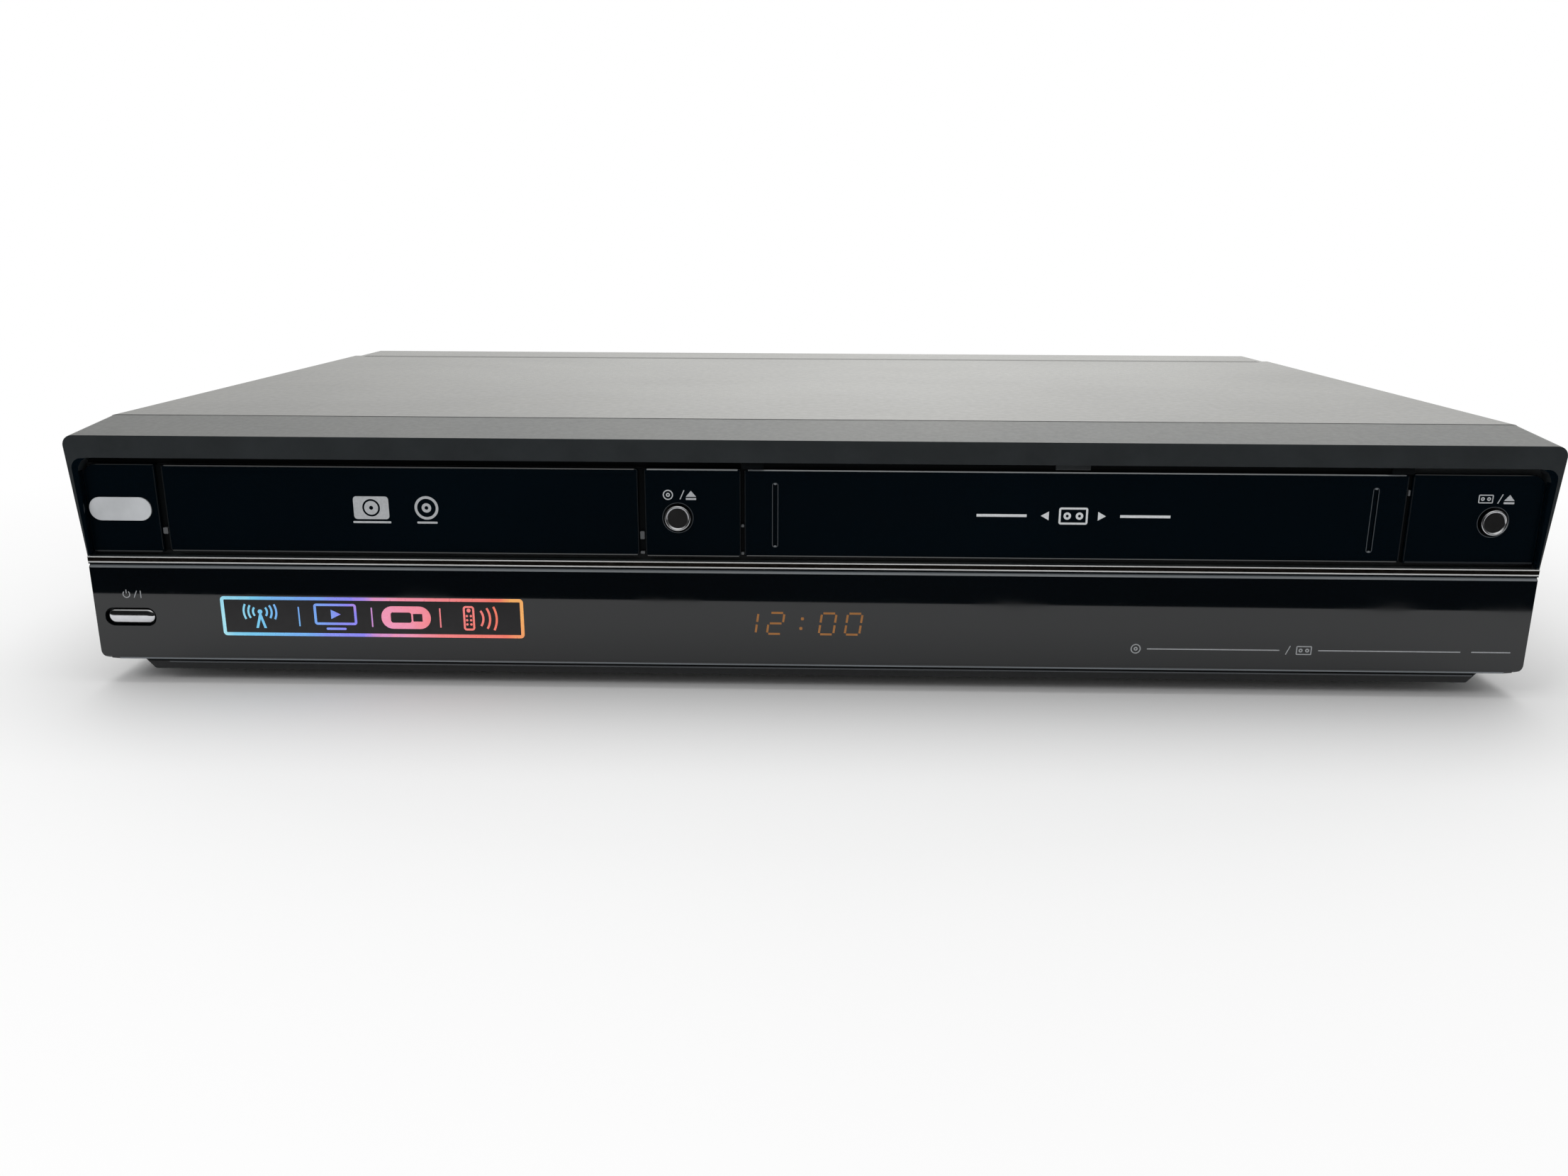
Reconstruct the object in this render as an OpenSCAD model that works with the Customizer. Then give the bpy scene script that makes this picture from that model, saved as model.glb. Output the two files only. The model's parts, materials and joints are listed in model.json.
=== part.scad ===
/* [Case] */
// Width of the front bezel at its widest, near the top
case_w = 430; // [428:0.5:434]
// Depth from the bezel's front to the ends of the rear jacks
case_d = 272; // [272:1:276]
// Height from the table to the top of the cover
case_h = 78.5; // [78.5:0.5:80]
// Thickness of the cover's sheet steel
cover_t = 0.8; // [0.6:0.1:0.8]
// Depth of the bezel's sloping top, from its front edge to the cover
hood_d = 23; // [23:0.5:24]
// Height of the rubber feet
foot_h = 5; // [4.5:0.1:5]

/* [Front panels] */
// How far the glossy panels sit behind the bezel's front edge
panel_set_back = 2; // [1.8:0.1:2]
// Lowest and highest point of the two doors
door_z = [40.9, 66.7];
// Left and right edge of the disc door
disc_door_x = [-188.2, -48.9];
// Left and right edge of the cassette door
tape_door_x = [-17.9, 172.5];
// Thickness of both doors
door_t = 2.2; // [2:0.1:2.2]
// Radius of the round eject buttons
eject_r = 3.75; // [3.4:0.05:3.8]
// Travel of every push button
press = 0.8; // [0.5:0.1:0.8]

/* [Disc drive] */
// Diameter of the disc recess in the tray
disc_seat_d = 121.2; // [120.6:0.1:121.4]
// Travel of the tray
tray_travel = 130; // [120:1:130]
// Module of the tray's rack and of the pinion that drives it
rack_m = 1; // [1]
// Teeth of that pinion
rack_pinion_teeth = 16; // [16]
// Module of the wheel and of the motor's pinion
wheel_m = 0.8; // [0.8]
// Teeth of the wheel under the rack pinion
wheel_teeth = 34; // [34]
// Teeth of the motor's pinion
motor_teeth = 12; // [12]

/* [Tape deck] */
// Width of the cassette that the basket holds
tape_w = 187.4; // [187:0.1:187.6]
// Travel of the carriage to the rear
carriage_travel = 70; // [60:1:70]
// Drop of the basket onto the reel tables
basket_drop = 18; // [16:0.5:18]
// Radius of the head drum
drum_r = 31; // [30:0.1:31]
// Tilt of the head drum
drum_tilt = 6; // [5:0.1:6]

/* [Hidden] */
$fn = 48;
e = 0.01;

// Case
y_front = -case_d / 2;
y_rear = case_d / 2;
y_seam = y_front + hood_d;
half_w = case_w / 2;
side_x = half_w - 1.5;
cover_in = side_x - cover_t;
cover_end = y_rear - 5;
z_floor = foot_h + 1;
hood_z = case_h - 3;
ceiling_z = case_h - cover_t;
rear_step = 0.6;
step_y = y_front + 232;
panel_y = cover_end - 3;
panel_half = cover_in - 1.1;
sheet = 1;
screw_r = 1.4;
side_screw_y = [-90, 100];
side_screw_z = 12.5;
rear_screw_x = [-190, 0, 190];
rear_screw_z = 74.6;
lip_z = 72.2;
foot_x = 180;
foot_y = [-98, 104];

// Front
face_y = y_front + panel_set_back;
wall_y = [y_front + 4.5, y_front + 7.5];
recess_x = 211.7;
recess_z = [39.5, 69];
fascia_x = 212.5;
fascia_z = [8, 37.3];
fascia_y = [y_front, y_front + 3];
ledge_z = 38.2;
disc_x = (disc_door_x[0] + disc_door_x[1]) / 2;
tape_x = (tape_door_x[0] + tape_door_x[1]) / 2;
hinge = [y_front + 3.4, 68.4];
hinge_r = 0.8;
stem_r = 2;
power_at = [-202, 21];
disc_eject_at = [-37.4, 52.3];
tape_eject_at = [198, 53.1];
display_x = [-24, 22];
display_z = [13.8, 28.2];
board_y = [y_front + 14, y_front + 15.6];

// Disc drive
spindle_y = -66;
lens_y = spindle_y + 24;
tray_z = 50;
tray_front = y_front + 6.7;
tray_top = 56;
tray_half = 62;
rail_half = 69.2;
gear_at = [disc_x - 47, -109];
rack_r = rack_m * rack_pinion_teeth / 2;
wheel_r = wheel_m * wheel_teeth / 2;
motor_r = wheel_m * motor_teeth / 2;
motor_at = [gear_at[0] + wheel_r + motor_r, gear_at[1]];
traverse_pivot = [38, 41];
cam_pin = [disc_x + 20, 39.5];
cam_travel = 18;
cam_fall = 10.53;

// Rear sockets
fan_at = [-92, 50];
inlet_at = [-178, 30];
tuner_x = [-46, -14];
tuner_jacks = [[-36, 27], [-22, 27]];
hdmi_at = [6, 20];
scart_x = [30, 82];
scart_z = [22.5, 43.5];
jack_x = [104, 120];
jack_y = 118;
jack_z = [20, 34, 48];
optical_at = [142, 21];

// Tape deck
deck_z = 20;
deck_top = 21.6;
basket_y = [-104, -58];
basket_x = tape_w / 2 + 2.5;
arm_x = [basket_x + 0.4, basket_x + 2];
guide_x = [basket_x + 2.4, basket_x + 4];
drum_at = [tape_x - 12, 52];
drum_z = 25;
loading_r = 41;
loading_from = 26;
loading_swing = 100;
slot_half = 1.6;
capstan_at = [tape_x + 38, 24];
pinch_pivot = [tape_x + 62, 42];
pinch_at = [tape_x + 55.4, 17.3];
reel_y = -45;
reel_gap = 45;

// The two ends of a length centred on a place
function span(mid, half) = [mid - half, mid + half];
// The same two ends on the right (s = 1) or on the left (s = -1) of a middle
function beside(s, mid, x) = s > 0 ? [mid + x[0], mid + x[1]] : [mid - x[1], mid - x[0]];

// A box given by its two ends along each axis
module box(x, y, z) {
    translate([x[0], y[0], z[0]]) cube([x[1] - x[0], y[1] - y[0], z[1] - z[0]]);
}
// Round rods along each axis
module rod_x(r, x, y, z) { translate([x[0], y, z]) rotate([0, 90, 0]) cylinder(r = r, h = x[1] - x[0]); }
module rod_y(r, x, y, z) { translate([x, y[1], z]) rotate([90, 0, 0]) cylinder(r = r, h = y[1] - y[0]); }
module rod_z(r, x, y, z) { translate([x, y, z[0]]) cylinder(r = r, h = z[1] - z[0]); }
// A flat outline in X and Z, given depth along Y
module slab_y(y) { translate([0, y[1], 0]) rotate([90, 0, 0]) linear_extrude(y[1] - y[0]) children(); }
// A flat outline in Y and Z, given length along X
module slab_x(x) { translate([x[0], 0, 0]) rotate([90, 0, 90]) linear_extrude(x[1] - x[0]) children(); }
// A flat outline in X and Y, given height along Z
module slab_z(z) { translate([0, 0, z[0]]) linear_extrude(z[1] - z[0]) children(); }
// A rectangle with round corners, given by its two ends along each axis
module round_rect(x, y, r) {
    translate([x[0] + r, y[0]]) square([x[1] - x[0] - 2 * r, y[1] - y[0]]);
    translate([x[0], y[0] + r]) square([x[1] - x[0], y[1] - y[0] - 2 * r]);
    for (a = [x[0] + r, x[1] - r], b = [y[0] + r, y[1] - r]) translate([a, b]) circle(r);
}
// A rectangle with only its upper corners round
module arch_rect(x, y, r) {
    translate([x[0], y[0]]) square([x[1] - x[0], y[1] - y[0] - r]);
    translate([x[0] + r, y[0]]) square([x[1] - x[0] - 2 * r, y[1] - y[0]]);
    for (a = [x[0] + r, x[1] - r]) translate([a, y[1] - r]) circle(r);
}

// Involute teeth: the half angle of a tooth at radius r
function inv(a) = tan(a) * 180 / PI - a;
function roll(base, r) = r <= base ? 0 : inv(acos(base / r));
function half_tooth(teeth, pitch, play, r) =
    90 / teeth - play / pitch * 90 / PI + inv(20) - roll(pitch * cos(20), r);
function gear_points(teeth, pitch, add, ded, play) = [
    for (i = [0:teeth - 1], side = [-1, 1])
        let (radii = side < 0 ? [pitch - ded, pitch - 0.4 * add, pitch + 0.3 * add, pitch + add]
                              : [pitch + add, pitch + 0.3 * add, pitch - 0.4 * add, pitch - ded])
        for (r = radii)
            let (a = i * 360 / teeth + side * half_tooth(teeth, pitch, play, r)) [r * cos(a), r * sin(a)]];
module gear(teeth, m, play) { polygon(gear_points(teeth, m * teeth / 2, 0.8 * m, 1.05 * m, play)); }
// A straight rack whose teeth point to +X from x, with spaces centred on y_mid
module rack(x, y, y_mid, m, back) {
    pitch = PI * m;
    half = pitch / 4 - 0.06;
    lean = tan(20);
    first = ceil((y[0] - y_mid) / pitch + 0.5);
    last = floor((y[1] - y_mid) / pitch - 0.5) - 1;
    root = x - 1.05 * m;
    tip = x + 0.8 * m;
    polygon(concat([[x - back, y[1]], [x - back, y[0]], [root, y[0]]],
        [for (i = [first:last], s = [-1, 1], k = (s < 0 ? [0, 1] : [1, 0]))
            let (mid = y_mid + (i + 0.5) * pitch, w = half + lean * (k == 0 ? 1.05 * m : -0.8 * m))
            [k == 0 ? root : tip, mid + s * w]],
        [[root, y[1]]]));
}

// ---------------------------------------------------------------- case
module bottom_chassis() {
    posts = [[disc_x - 60, -108, 24], [disc_x + 60, -108, 24], [disc_x - 60, 46, 24], [disc_x + 60, 46, 24],
             [tape_x - 95, -100, deck_z], [tape_x + 95, -100, deck_z],
             [tape_x - 95, 78, deck_z], [tape_x + 95, 78, deck_z],
             [-200, 66, 12], [-66, 66, 12], [-200, 121, 12], [-66, 121, 12],
             [-44, 97, 12], [200, 97, 12], [-44, 122, 12], [200, 122, 12]];
    color("silver") difference() {
        union() {
            box([-cover_in, cover_in], [y_seam, cover_end - 1], [foot_h, z_floor]);
            for (s = [-1, 1])
                box(beside(s, 0, [cover_in - sheet, cover_in]), [y_seam + 6, panel_y], [z_floor - e, 18]);
            box([-cover_in, cover_in], [y_seam, y_seam + sheet], [z_floor - e, 16]);
            for (p = posts) rod_z(4, p[0], p[1], [z_floor - e, p[2]]);
        }
        for (i = [-4.5:4.5], y = [-60, -20]) box(span(disc_x + i * 11, 2), [y, y + 24], [0, 10]);
        for (i = [-4.5:4.5]) box(span(tape_x + i * 11, 2), [-30, -2], [0, 10]);
        for (s = [-1, 1], y = side_screw_y)
            rod_x(screw_r + 0.05, [s * cover_in - 2, s * cover_in + 2], y, side_screw_z);
    }
}
module fan_grille() {
    for (a = [0:3]) translate([fan_at[0], 0, fan_at[1]]) rotate([0, a * 90, 0]) difference() {
        rod_y(17, 0, span(panel_y, 2), 0);
        box([-20, 1], span(panel_y, 3), [-20, 20]);
        box([-20, 20], span(panel_y, 3), [-20, 1]);
        rod_y(7, 0, span(panel_y, 3), 0);
    }
}
// A hole right through the rear panel
module rear_hole(x, z) { box(x, span(panel_y, 2), z); }
module rear_panel() {
    color("dimgray") difference() {
        box([-panel_half, panel_half], [panel_y - sheet, panel_y], [z_floor, ceiling_z - rear_step - 0.1]);
        fan_grille();
        rear_hole(span(inlet_at[0], 12), span(inlet_at[1], 8.5));
        for (p = tuner_jacks) rod_y(6, p[0], span(panel_y, 2), p[1]);
        rear_hole(span(hdmi_at[0], 8.2), span(hdmi_at[1], 3.6));
        for (z = scart_z) rear_hole([scart_x[0] + 1, scart_x[1] - 1], span(z, 8));
        for (x = jack_x, z = jack_z) rod_y(5.2, x, span(panel_y, 2), z);
        rear_hole(span(optical_at[0], 5.5), span(optical_at[1], 5.5));
        for (i = [0:11], z = [56, 64]) rear_hole([40 + i * 9, 45 + i * 9], [z, z + 4]);
        for (x = rear_screw_x) rod_y(screw_r + 0.05, x, span(panel_y, 2), rear_screw_z);
    }
}
module cover_shape(top) {
    difference() {
        arch_rect([-side_x, side_x], [7, top], 2.5);
        arch_rect([-cover_in, cover_in], [0, top - cover_t], 1.7);
    }
}
module top_cover() {
    color([0.09, 0.09, 0.1]) difference() {
        union() {
            slab_y([y_seam, step_y]) cover_shape(case_h);
            slab_y([step_y - cover_t, cover_end]) cover_shape(case_h - rear_step);
            box([-205, 205], [panel_y, panel_y + cover_t], [lip_z, ceiling_z - rear_step + e]);
        }
        for (s = [-1, 1], i = [0:13], z = [28, 46])
            box([s * side_x - 2, s * side_x + 2], [40 + i * 5, 42 + i * 5], [z, z + 13]);
        for (s = [-1, 1], y = side_screw_y)
            rod_x(screw_r + 0.3, [s * side_x - 2, s * side_x + 2], y, side_screw_z);
        for (x = rear_screw_x) rod_y(screw_r + 0.3, x, [panel_y - 1, panel_y + 2], rear_screw_z);
    }
}
module screw(head_r, shank_r, head, shank) {
    difference() {
        union() {
            cylinder(r = head_r, h = head);
            translate([0, 0, -shank]) cylinder(r = shank_r, h = shank + e);
        }
        for (a = [0, 90]) rotate([0, 0, a])
            box(span(0, head_r * 0.6), span(0, 0.3), [head - 0.6, head + 1]);
    }
}
module case_screws() {
    color("gray") {
        for (s = [-1, 1], y = side_screw_y)
            translate([s * side_x, y, side_screw_z]) rotate([0, s * 90, 0]) screw(3, screw_r, 1.3, 6);
        for (x = rear_screw_x)
            translate([x, panel_y + cover_t, rear_screw_z]) rotate([-90, 0, 0]) screw(2.4, screw_r, 1.3, 6);
    }
}
module rubber_feet() {
    color("black") for (x = [-foot_x, foot_x], y = foot_y) difference() {
        union() {
            rod_z(11, x, y, [0, 3]);
            rod_z(9.5, x, y, [3 - e, foot_h]);
        }
        rod_z(3.5, x, y, [-1, 2.2]);
    }
}

// ---------------------------------------------------------------- front
module hood_end(half, top, r) {
    translate([-212.3, ledge_z]) square([424.6, 1]);
    for (s = [-1, 1]) translate([s * (half - r), top - r]) circle(r, $fn = 32);
}
module front_bezel() {
    color([0.16, 0.17, 0.18]) difference() {
        union() {
            difference() {
                union() {
                    hull() {
                        slab_y([y_front, y_front + 0.1]) hood_end(half_w, hood_z, 3);
                        slab_y([y_seam - 0.1, y_seam]) hood_end(side_x, case_h - 0.1, 2.5);
                    }
                    box([-213, 213], [fascia_y[1], y_seam], [fascia_z[0], ledge_z + e]);
                    box(span(0, cover_in - 2), [y_seam - e, y_seam + 7], [ceiling_z - 2, ceiling_z]);
                }
                slab_y([y_front - 1, wall_y[0]]) arch_rect([-recess_x, recess_x], recess_z, 4);
                slab_x([-210, 210]) polygon([[y_front + 2.6, 71], [y_front + 2.6, 72.6], [y_seam + 1, 75.4],
                    [y_seam + 1, 10.5], [wall_y[1], 10.5], [wall_y[1], 71]]);
                box([tape_door_x[0] - 0.5, tape_door_x[1] + 0.5], [y_front + 2.5, wall_y[1] + 1],
                    [40.6, 72.2]);
                box(span(disc_x, rail_half + 0.3), [wall_y[0] - 1, wall_y[1] + 1], [43.5, 64.5]);
            }
            for (x = [tape_door_x[0], tape_door_x[1] - 2]) {
                rod_x(1.45, [x, x + 2], hinge[0], hinge[1]);
                box([x, x + 2], [hinge[0] - 1.4, hinge[0] + 1.3], [hinge[1], 73]);
            }
            for (p = [[-38, 14], [58, 14], [-38, 30], [58, 30], [-207, 15.5], [-197, 27], [-207, 27],
                      [-42.5, 58], [-32, 46.5], [190.5, 59], [205, 47]])
                rod_y(1.8, p[0], [wall_y[1] - e, board_y[0]], p[1]);
        }
        rod_x(hinge_r + 0.05, [tape_door_x[0] - 1, tape_door_x[0] + 3], hinge[0], hinge[1]);
        rod_x(hinge_r + 0.05, [tape_door_x[1] - 3, tape_door_x[1] + 1], hinge[0], hinge[1]);
        slab_y([fascia_y[1] - 1, wall_y[1] + 1])
            round_rect([display_x[0] - 0.6, display_x[1] + 0.6],
                [display_z[0] - 0.6, display_z[1] + 0.6], 1);
        for (p = [power_at, disc_eject_at, tape_eject_at])
            rod_y(stem_r + 0.06, p[0], [fascia_y[1] - 1, wall_y[1] + 1], p[1]);
    }
}
module badge_panel() {
    color([0.02, 0.03, 0.05]) slab_y([face_y, wall_y[0]]) intersection() {
        arch_rect([-recess_x + 0.2, recess_x], [40.6, door_z[1] + 0.2], 4);
        translate([-recess_x, 40]) square([recess_x - 190.3, 30]);
    }
}
module button_panels() {
    color([0.02, 0.03, 0.05]) {
        difference() {
            slab_y([face_y, wall_y[0]]) round_rect([-47, -19.1], [40.6, door_z[1] + 0.2], 0.8);
            rod_y(eject_r + 0.5, disc_eject_at[0], [face_y - 1, wall_y[0] + 1], disc_eject_at[1]);
        }
        difference() {
            slab_y([face_y, wall_y[0]]) intersection() {
                arch_rect([-recess_x, recess_x - 0.2], [40.6, door_z[1] + 0.2], 4);
                translate([173.8, 40]) square([recess_x - 173.8, 30]);
            }
            rod_y(eject_r + 0.5, tape_eject_at[0], [face_y - 1, wall_y[0] + 1], tape_eject_at[1]);
        }
    }
}
module lower_fascia() {
    color([0.03, 0.03, 0.04]) difference() {
        intersection() {
            slab_y(fascia_y) union() {
                round_rect([-fascia_x, fascia_x], fascia_z, 2.4);
                translate([-fascia_x, 20]) square([2 * fascia_x, fascia_z[1] - 20]);
            }
            slab_x([-fascia_x, fascia_x]) polygon([[fascia_y[1], fascia_z[0]], [y_front + 0.6, fascia_z[0]],
                [y_front, fascia_z[0] + 0.6], [y_front, fascia_z[1] - 1.1], [y_front + 0.8, fascia_z[1]],
                [fascia_y[1], fascia_z[1]]]);
        }
        slab_y([y_front - 1, fascia_y[1] + 1])
            round_rect(span(power_at[0], 7.7), span(power_at[1], 2.8), 2.7);
    }
}
module trim_strip() {
    color([0.8, 0.81, 0.82]) slab_x([-fascia_x, fascia_x]) union() {
        translate([y_front + 0.4, ledge_z - 0.8]) square([2.6, 0.8]);
        translate([y_front + 0.4, ledge_z - 0.4]) circle(0.4);
    }
}
module base_plinth() {
    color([0.08, 0.08, 0.09]) slab_y([y_front + 2, y_seam])
        polygon([[-197.7, 4], [197.7, 4], [201.3, fascia_z[0]], [-201.3, fascia_z[0]]]);
}
module round_button(at) {
    rod_y(eject_r, at[0], [face_y - 0.9, wall_y[0] - 1], at[1]);
    difference() {
        rod_y(eject_r - 0.5, at[0], [face_y - 1.3, face_y], at[1]);
        rod_y(eject_r - 1.1, at[0], [face_y - 2, face_y - 0.9], at[1]);
    }
    rod_y(stem_r, at[0], [wall_y[0] - 1 - e, board_y[0] - 2 - press], at[1]);
}
module power_button() {
    color("silver") {
        slab_y([y_front + 0.6, fascia_y[1] - press - 0.2])
            round_rect(span(power_at[0], 7.1), span(power_at[1], 2.2), 2.1);
        rod_y(stem_r, power_at[0], [fascia_y[1] - press - 0.3, board_y[0] - 2 - press], power_at[1]);
    }
}
module disc_eject_button() { color("silver") round_button(disc_eject_at); }
module tape_eject_button() { color("silver") round_button(tape_eject_at); }
module front_board() {
    color("darkgreen") {
        box([-42, 62], board_y, [11, 33]);
        box([-209, -194.5], board_y, [13, 29.5]);
        box([-45, -29.5], board_y, [44, 61]);
        box([188, 207.5], board_y, [44.5, 61.5]);
    }
}
module display_module() {
    color([0.1, 0.12, 0.13]) box(display_x, [fascia_y[1], board_y[0]], display_z);
}
module tact_switches() {
    color("dimgray") for (p = [power_at, disc_eject_at, tape_eject_at]) {
        box(span(p[0], 3), [board_y[0] - 1.2, board_y[0]], span(p[1], 3));
        rod_y(1.7, p[0], [board_y[0] - 1.9, board_y[0] - 1.1], p[1]);
    }
}

// ---------------------------------------------------------------- electronics
module main_board() {
    color("darkgreen") difference() {
        box([-50, 206], [91, panel_y - 1.6], [12, 13.6]);
        for (x = [-44, 200], y = [97, 122]) rod_z(1.5, x, y, [11, 15]);
    }
}
module board_chips() {
    color([0.1, 0.1, 0.1]) {
        box([-30, -10], [91.5, 97.5], [13.6, 15.4]);
        box([150, 178], [95, 119], [13.6, 15.4]);
        box([182, 194], [100, 112], [13.6, 15]);
        for (i = [0:3]) rod_z(3.1, 123 + i * 7.5, 98, [13.6, 24]);
        for (i = [0:2]) box([4 + i * 26, 22 + i * 26], [92, 97], [13.6, 21]);
    }
}
module power_board() {
    color("darkgoldenrod") box([-206, -60], [60, panel_y - 1.6], [12, 13.6]);
}
module power_transformer() {
    color("goldenrod") {
        box([-140, -112], [80, 104], [13.6, 17]);
        box([-138, -114], [83, 101], [17 - e, 36]);
        box([-141, -111], [86, 98], [20, 33]);
    }
}
module power_capacitors() {
    color([0.1, 0.12, 0.3]) {
        rod_z(9, -163, 92, [13.6, 40]);
        for (i = [0:2]) rod_z(5, -98 + i * 12, 80, [13.6, 34]);
        rod_z(4, -98, 98, [13.6, 30]);
        rod_z(4, -86, 98, [13.6, 30]);
    }
}
module heat_sink() {
    color("lightgray") {
        box([-186, -184], [66, 110], [13.6, 48]);
        for (i = [0:6]) box([-190, -184 + e], [67 + i * 7, 68.2 + i * 7], [18, 46]);
        box([-152, -150], [68, 108], [13.6, 44]);
    }
}
module scart_sockets() {
    color([0.12, 0.12, 0.12]) for (z = scart_z) difference() {
        union() {
            box([scart_x[0] + 1.2, scart_x[1] - 1.2], [104, 131.5], span(z, 7.8));
            below = z == scart_z[0] ? 13.6 : scart_z[0] + 7.8;
            box([scart_x[0] + 3, scart_x[1] - 3], [106, 124], [below, z - 7.8 + e]);
        }
        slab_y([121, 133]) polygon([[scart_x[0] + 4, z - 5.2], [scart_x[1] - 4, z - 5.2],
            [scart_x[1] - 4, z + 2], [scart_x[1] - 9, z + 5.2], [scart_x[0] + 4, z + 5.2]]);
    }
}
// One phono socket: its moulded housing, outer shell and insulator round an open bore
module phono_jack(x, z) {
    difference() {
        union() {
            box(span(x, 7.9), [jack_y, panel_y - sheet], [z - 6.4, z + 7.4]);
            rod_y(5, x, [panel_y - sheet - e, panel_y + 1.2], z);
            rod_y(4.15, x, [panel_y, y_rear], z);
        }
        difference() {
            rod_y(3.6, x, [panel_y + 1, y_rear + 1], z);
            rod_y(2.6, x, [panel_y, y_rear + 2], z);
        }
        rod_y(1.6, x, [jack_y - 1, y_rear + 1], z);
    }
}
module av_jacks() {
    color([0.2, 0.2, 0.2]) {
        for (x = jack_x, z = jack_z) phono_jack(x, z);
        box([jack_x[0] - 7, jack_x[1] + 7], [110, jack_y - 0.2], [13.6, jack_z[2] + 7.4]);
        difference() {
            union() {
                box(span(optical_at[0], 5.3), [112, panel_y - sheet], [13.6, optical_at[1] + 5.3]);
                box(span(optical_at[0], 5.3), [panel_y - sheet - e, panel_y + 0.8],
                    span(optical_at[1], 5.3));
            }
            slab_y([panel_y - 1.2, panel_y + 2]) translate(optical_at)
                polygon([[-3.5, -3.5], [3.5, -3.5], [3.5, 1.5], [1.5, 3.5], [-1.5, 3.5], [-3.5, 1.5]]);
        }
    }
}
module hdmi_socket() {
    color("silver") {
        difference() {
            union() {
                box(span(hdmi_at[0], 7.9), [116, panel_y - sheet], [13.6, hdmi_at[1] + 3.3]);
                box(span(hdmi_at[0], 7.9), [panel_y - sheet - e, panel_y + 1.4],
                    span(hdmi_at[1], 3.3));
            }
            slab_y([121, 131]) translate(hdmi_at)
                polygon([[-7, 2.3], [7, 2.3], [7, -0.8], [5.6, -2.4], [-5.6, -2.4], [-7, -0.8]]);
        }
    }
}
module aerial_tuner() {
    color("silver") {
        difference() {
            union() {
                box(tuner_x, [98, panel_y - sheet], [13.6, 38]);
                for (p = tuner_jacks) rod_y(4.75, p[0], [panel_y - sheet - e, y_rear], p[1]);
            }
            rod_y(3.9, tuner_jacks[0][0], [panel_y, y_rear + 1], tuner_jacks[0][1]);
            rod_y(1.3, tuner_jacks[1][0], [panel_y, y_rear + 1], tuner_jacks[1][1]);
        }
        rod_y(1.15, tuner_jacks[0][0], [panel_y - e, y_rear - 0.5], tuner_jacks[0][1]);
    }
}
module mains_inlet() {
    color([0.08, 0.08, 0.08]) difference() {
        union() {
            box(span(inlet_at[0], 11.8), [111, panel_y - sheet], [13.6, inlet_at[1] + 8.3]);
            box(span(inlet_at[0], 11.8), [panel_y - sheet - e, panel_y + e],
                span(inlet_at[1], 8.3));
            box(span(inlet_at[0], 14), [panel_y, panel_y + 2], span(inlet_at[1], 9.5));
        }
        for (s = [-1, 1]) rod_y(4.3, inlet_at[0] + s * 4.2, [115, panel_y + 3], inlet_at[1]);
        box(span(inlet_at[0], 4.2), [115, panel_y + 3], span(inlet_at[1], 3.4));
    }
    color("silver") for (s = [-1, 1])
        rod_y(1.2, inlet_at[0] + s * 4.3, [115 - e, panel_y - 1], inlet_at[1]);
}
module fan_frame() {
    color([0.1, 0.1, 0.1]) {
        difference() {
            slab_y([panel_y - sheet - 10, panel_y - sheet])
                round_rect(span(fan_at[0], 20), span(fan_at[1], 20), 3);
            rod_y(18.6, fan_at[0], [panel_y - 12, panel_y], fan_at[1]);
            for (x = [-16, 16], z = [-16, 16])
                rod_y(1.8, fan_at[0] + x, [panel_y - 12, panel_y], fan_at[1] + z);
        }
        difference() {
            union() {
                rod_y(7, fan_at[0], [panel_y - sheet - 10, panel_y - sheet - 8.6], fan_at[1]);
                for (a = [45, 135, 225, 315]) translate([fan_at[0], 0, fan_at[1]]) rotate([0, a, 0])
                    box([6, 18.8], [panel_y - sheet - 10, panel_y - sheet - 8.8], [-1, 1]);
            }
            rod_y(1.05, fan_at[0], [panel_y - 12, panel_y], fan_at[1]);
        }
    }
}
module fan_rotor() {
    color([0.14, 0.14, 0.14]) {
        rod_y(7.5, fan_at[0], [panel_y - sheet - 8.2, panel_y - sheet - 1], fan_at[1]);
        rod_y(1, fan_at[0], [panel_y - sheet - 9.6, panel_y - sheet - 8.1], fan_at[1]);
        for (a = [0:6]) translate([fan_at[0], panel_y - sheet - 4.6, fan_at[1]]) rotate([0, a * 360 / 7, 0])
            translate([7, 0, 0]) rotate([35, 0, 0]) translate([0, -3.6, -0.5]) cube([10.8, 7.2, 1]);
    }
}

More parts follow.
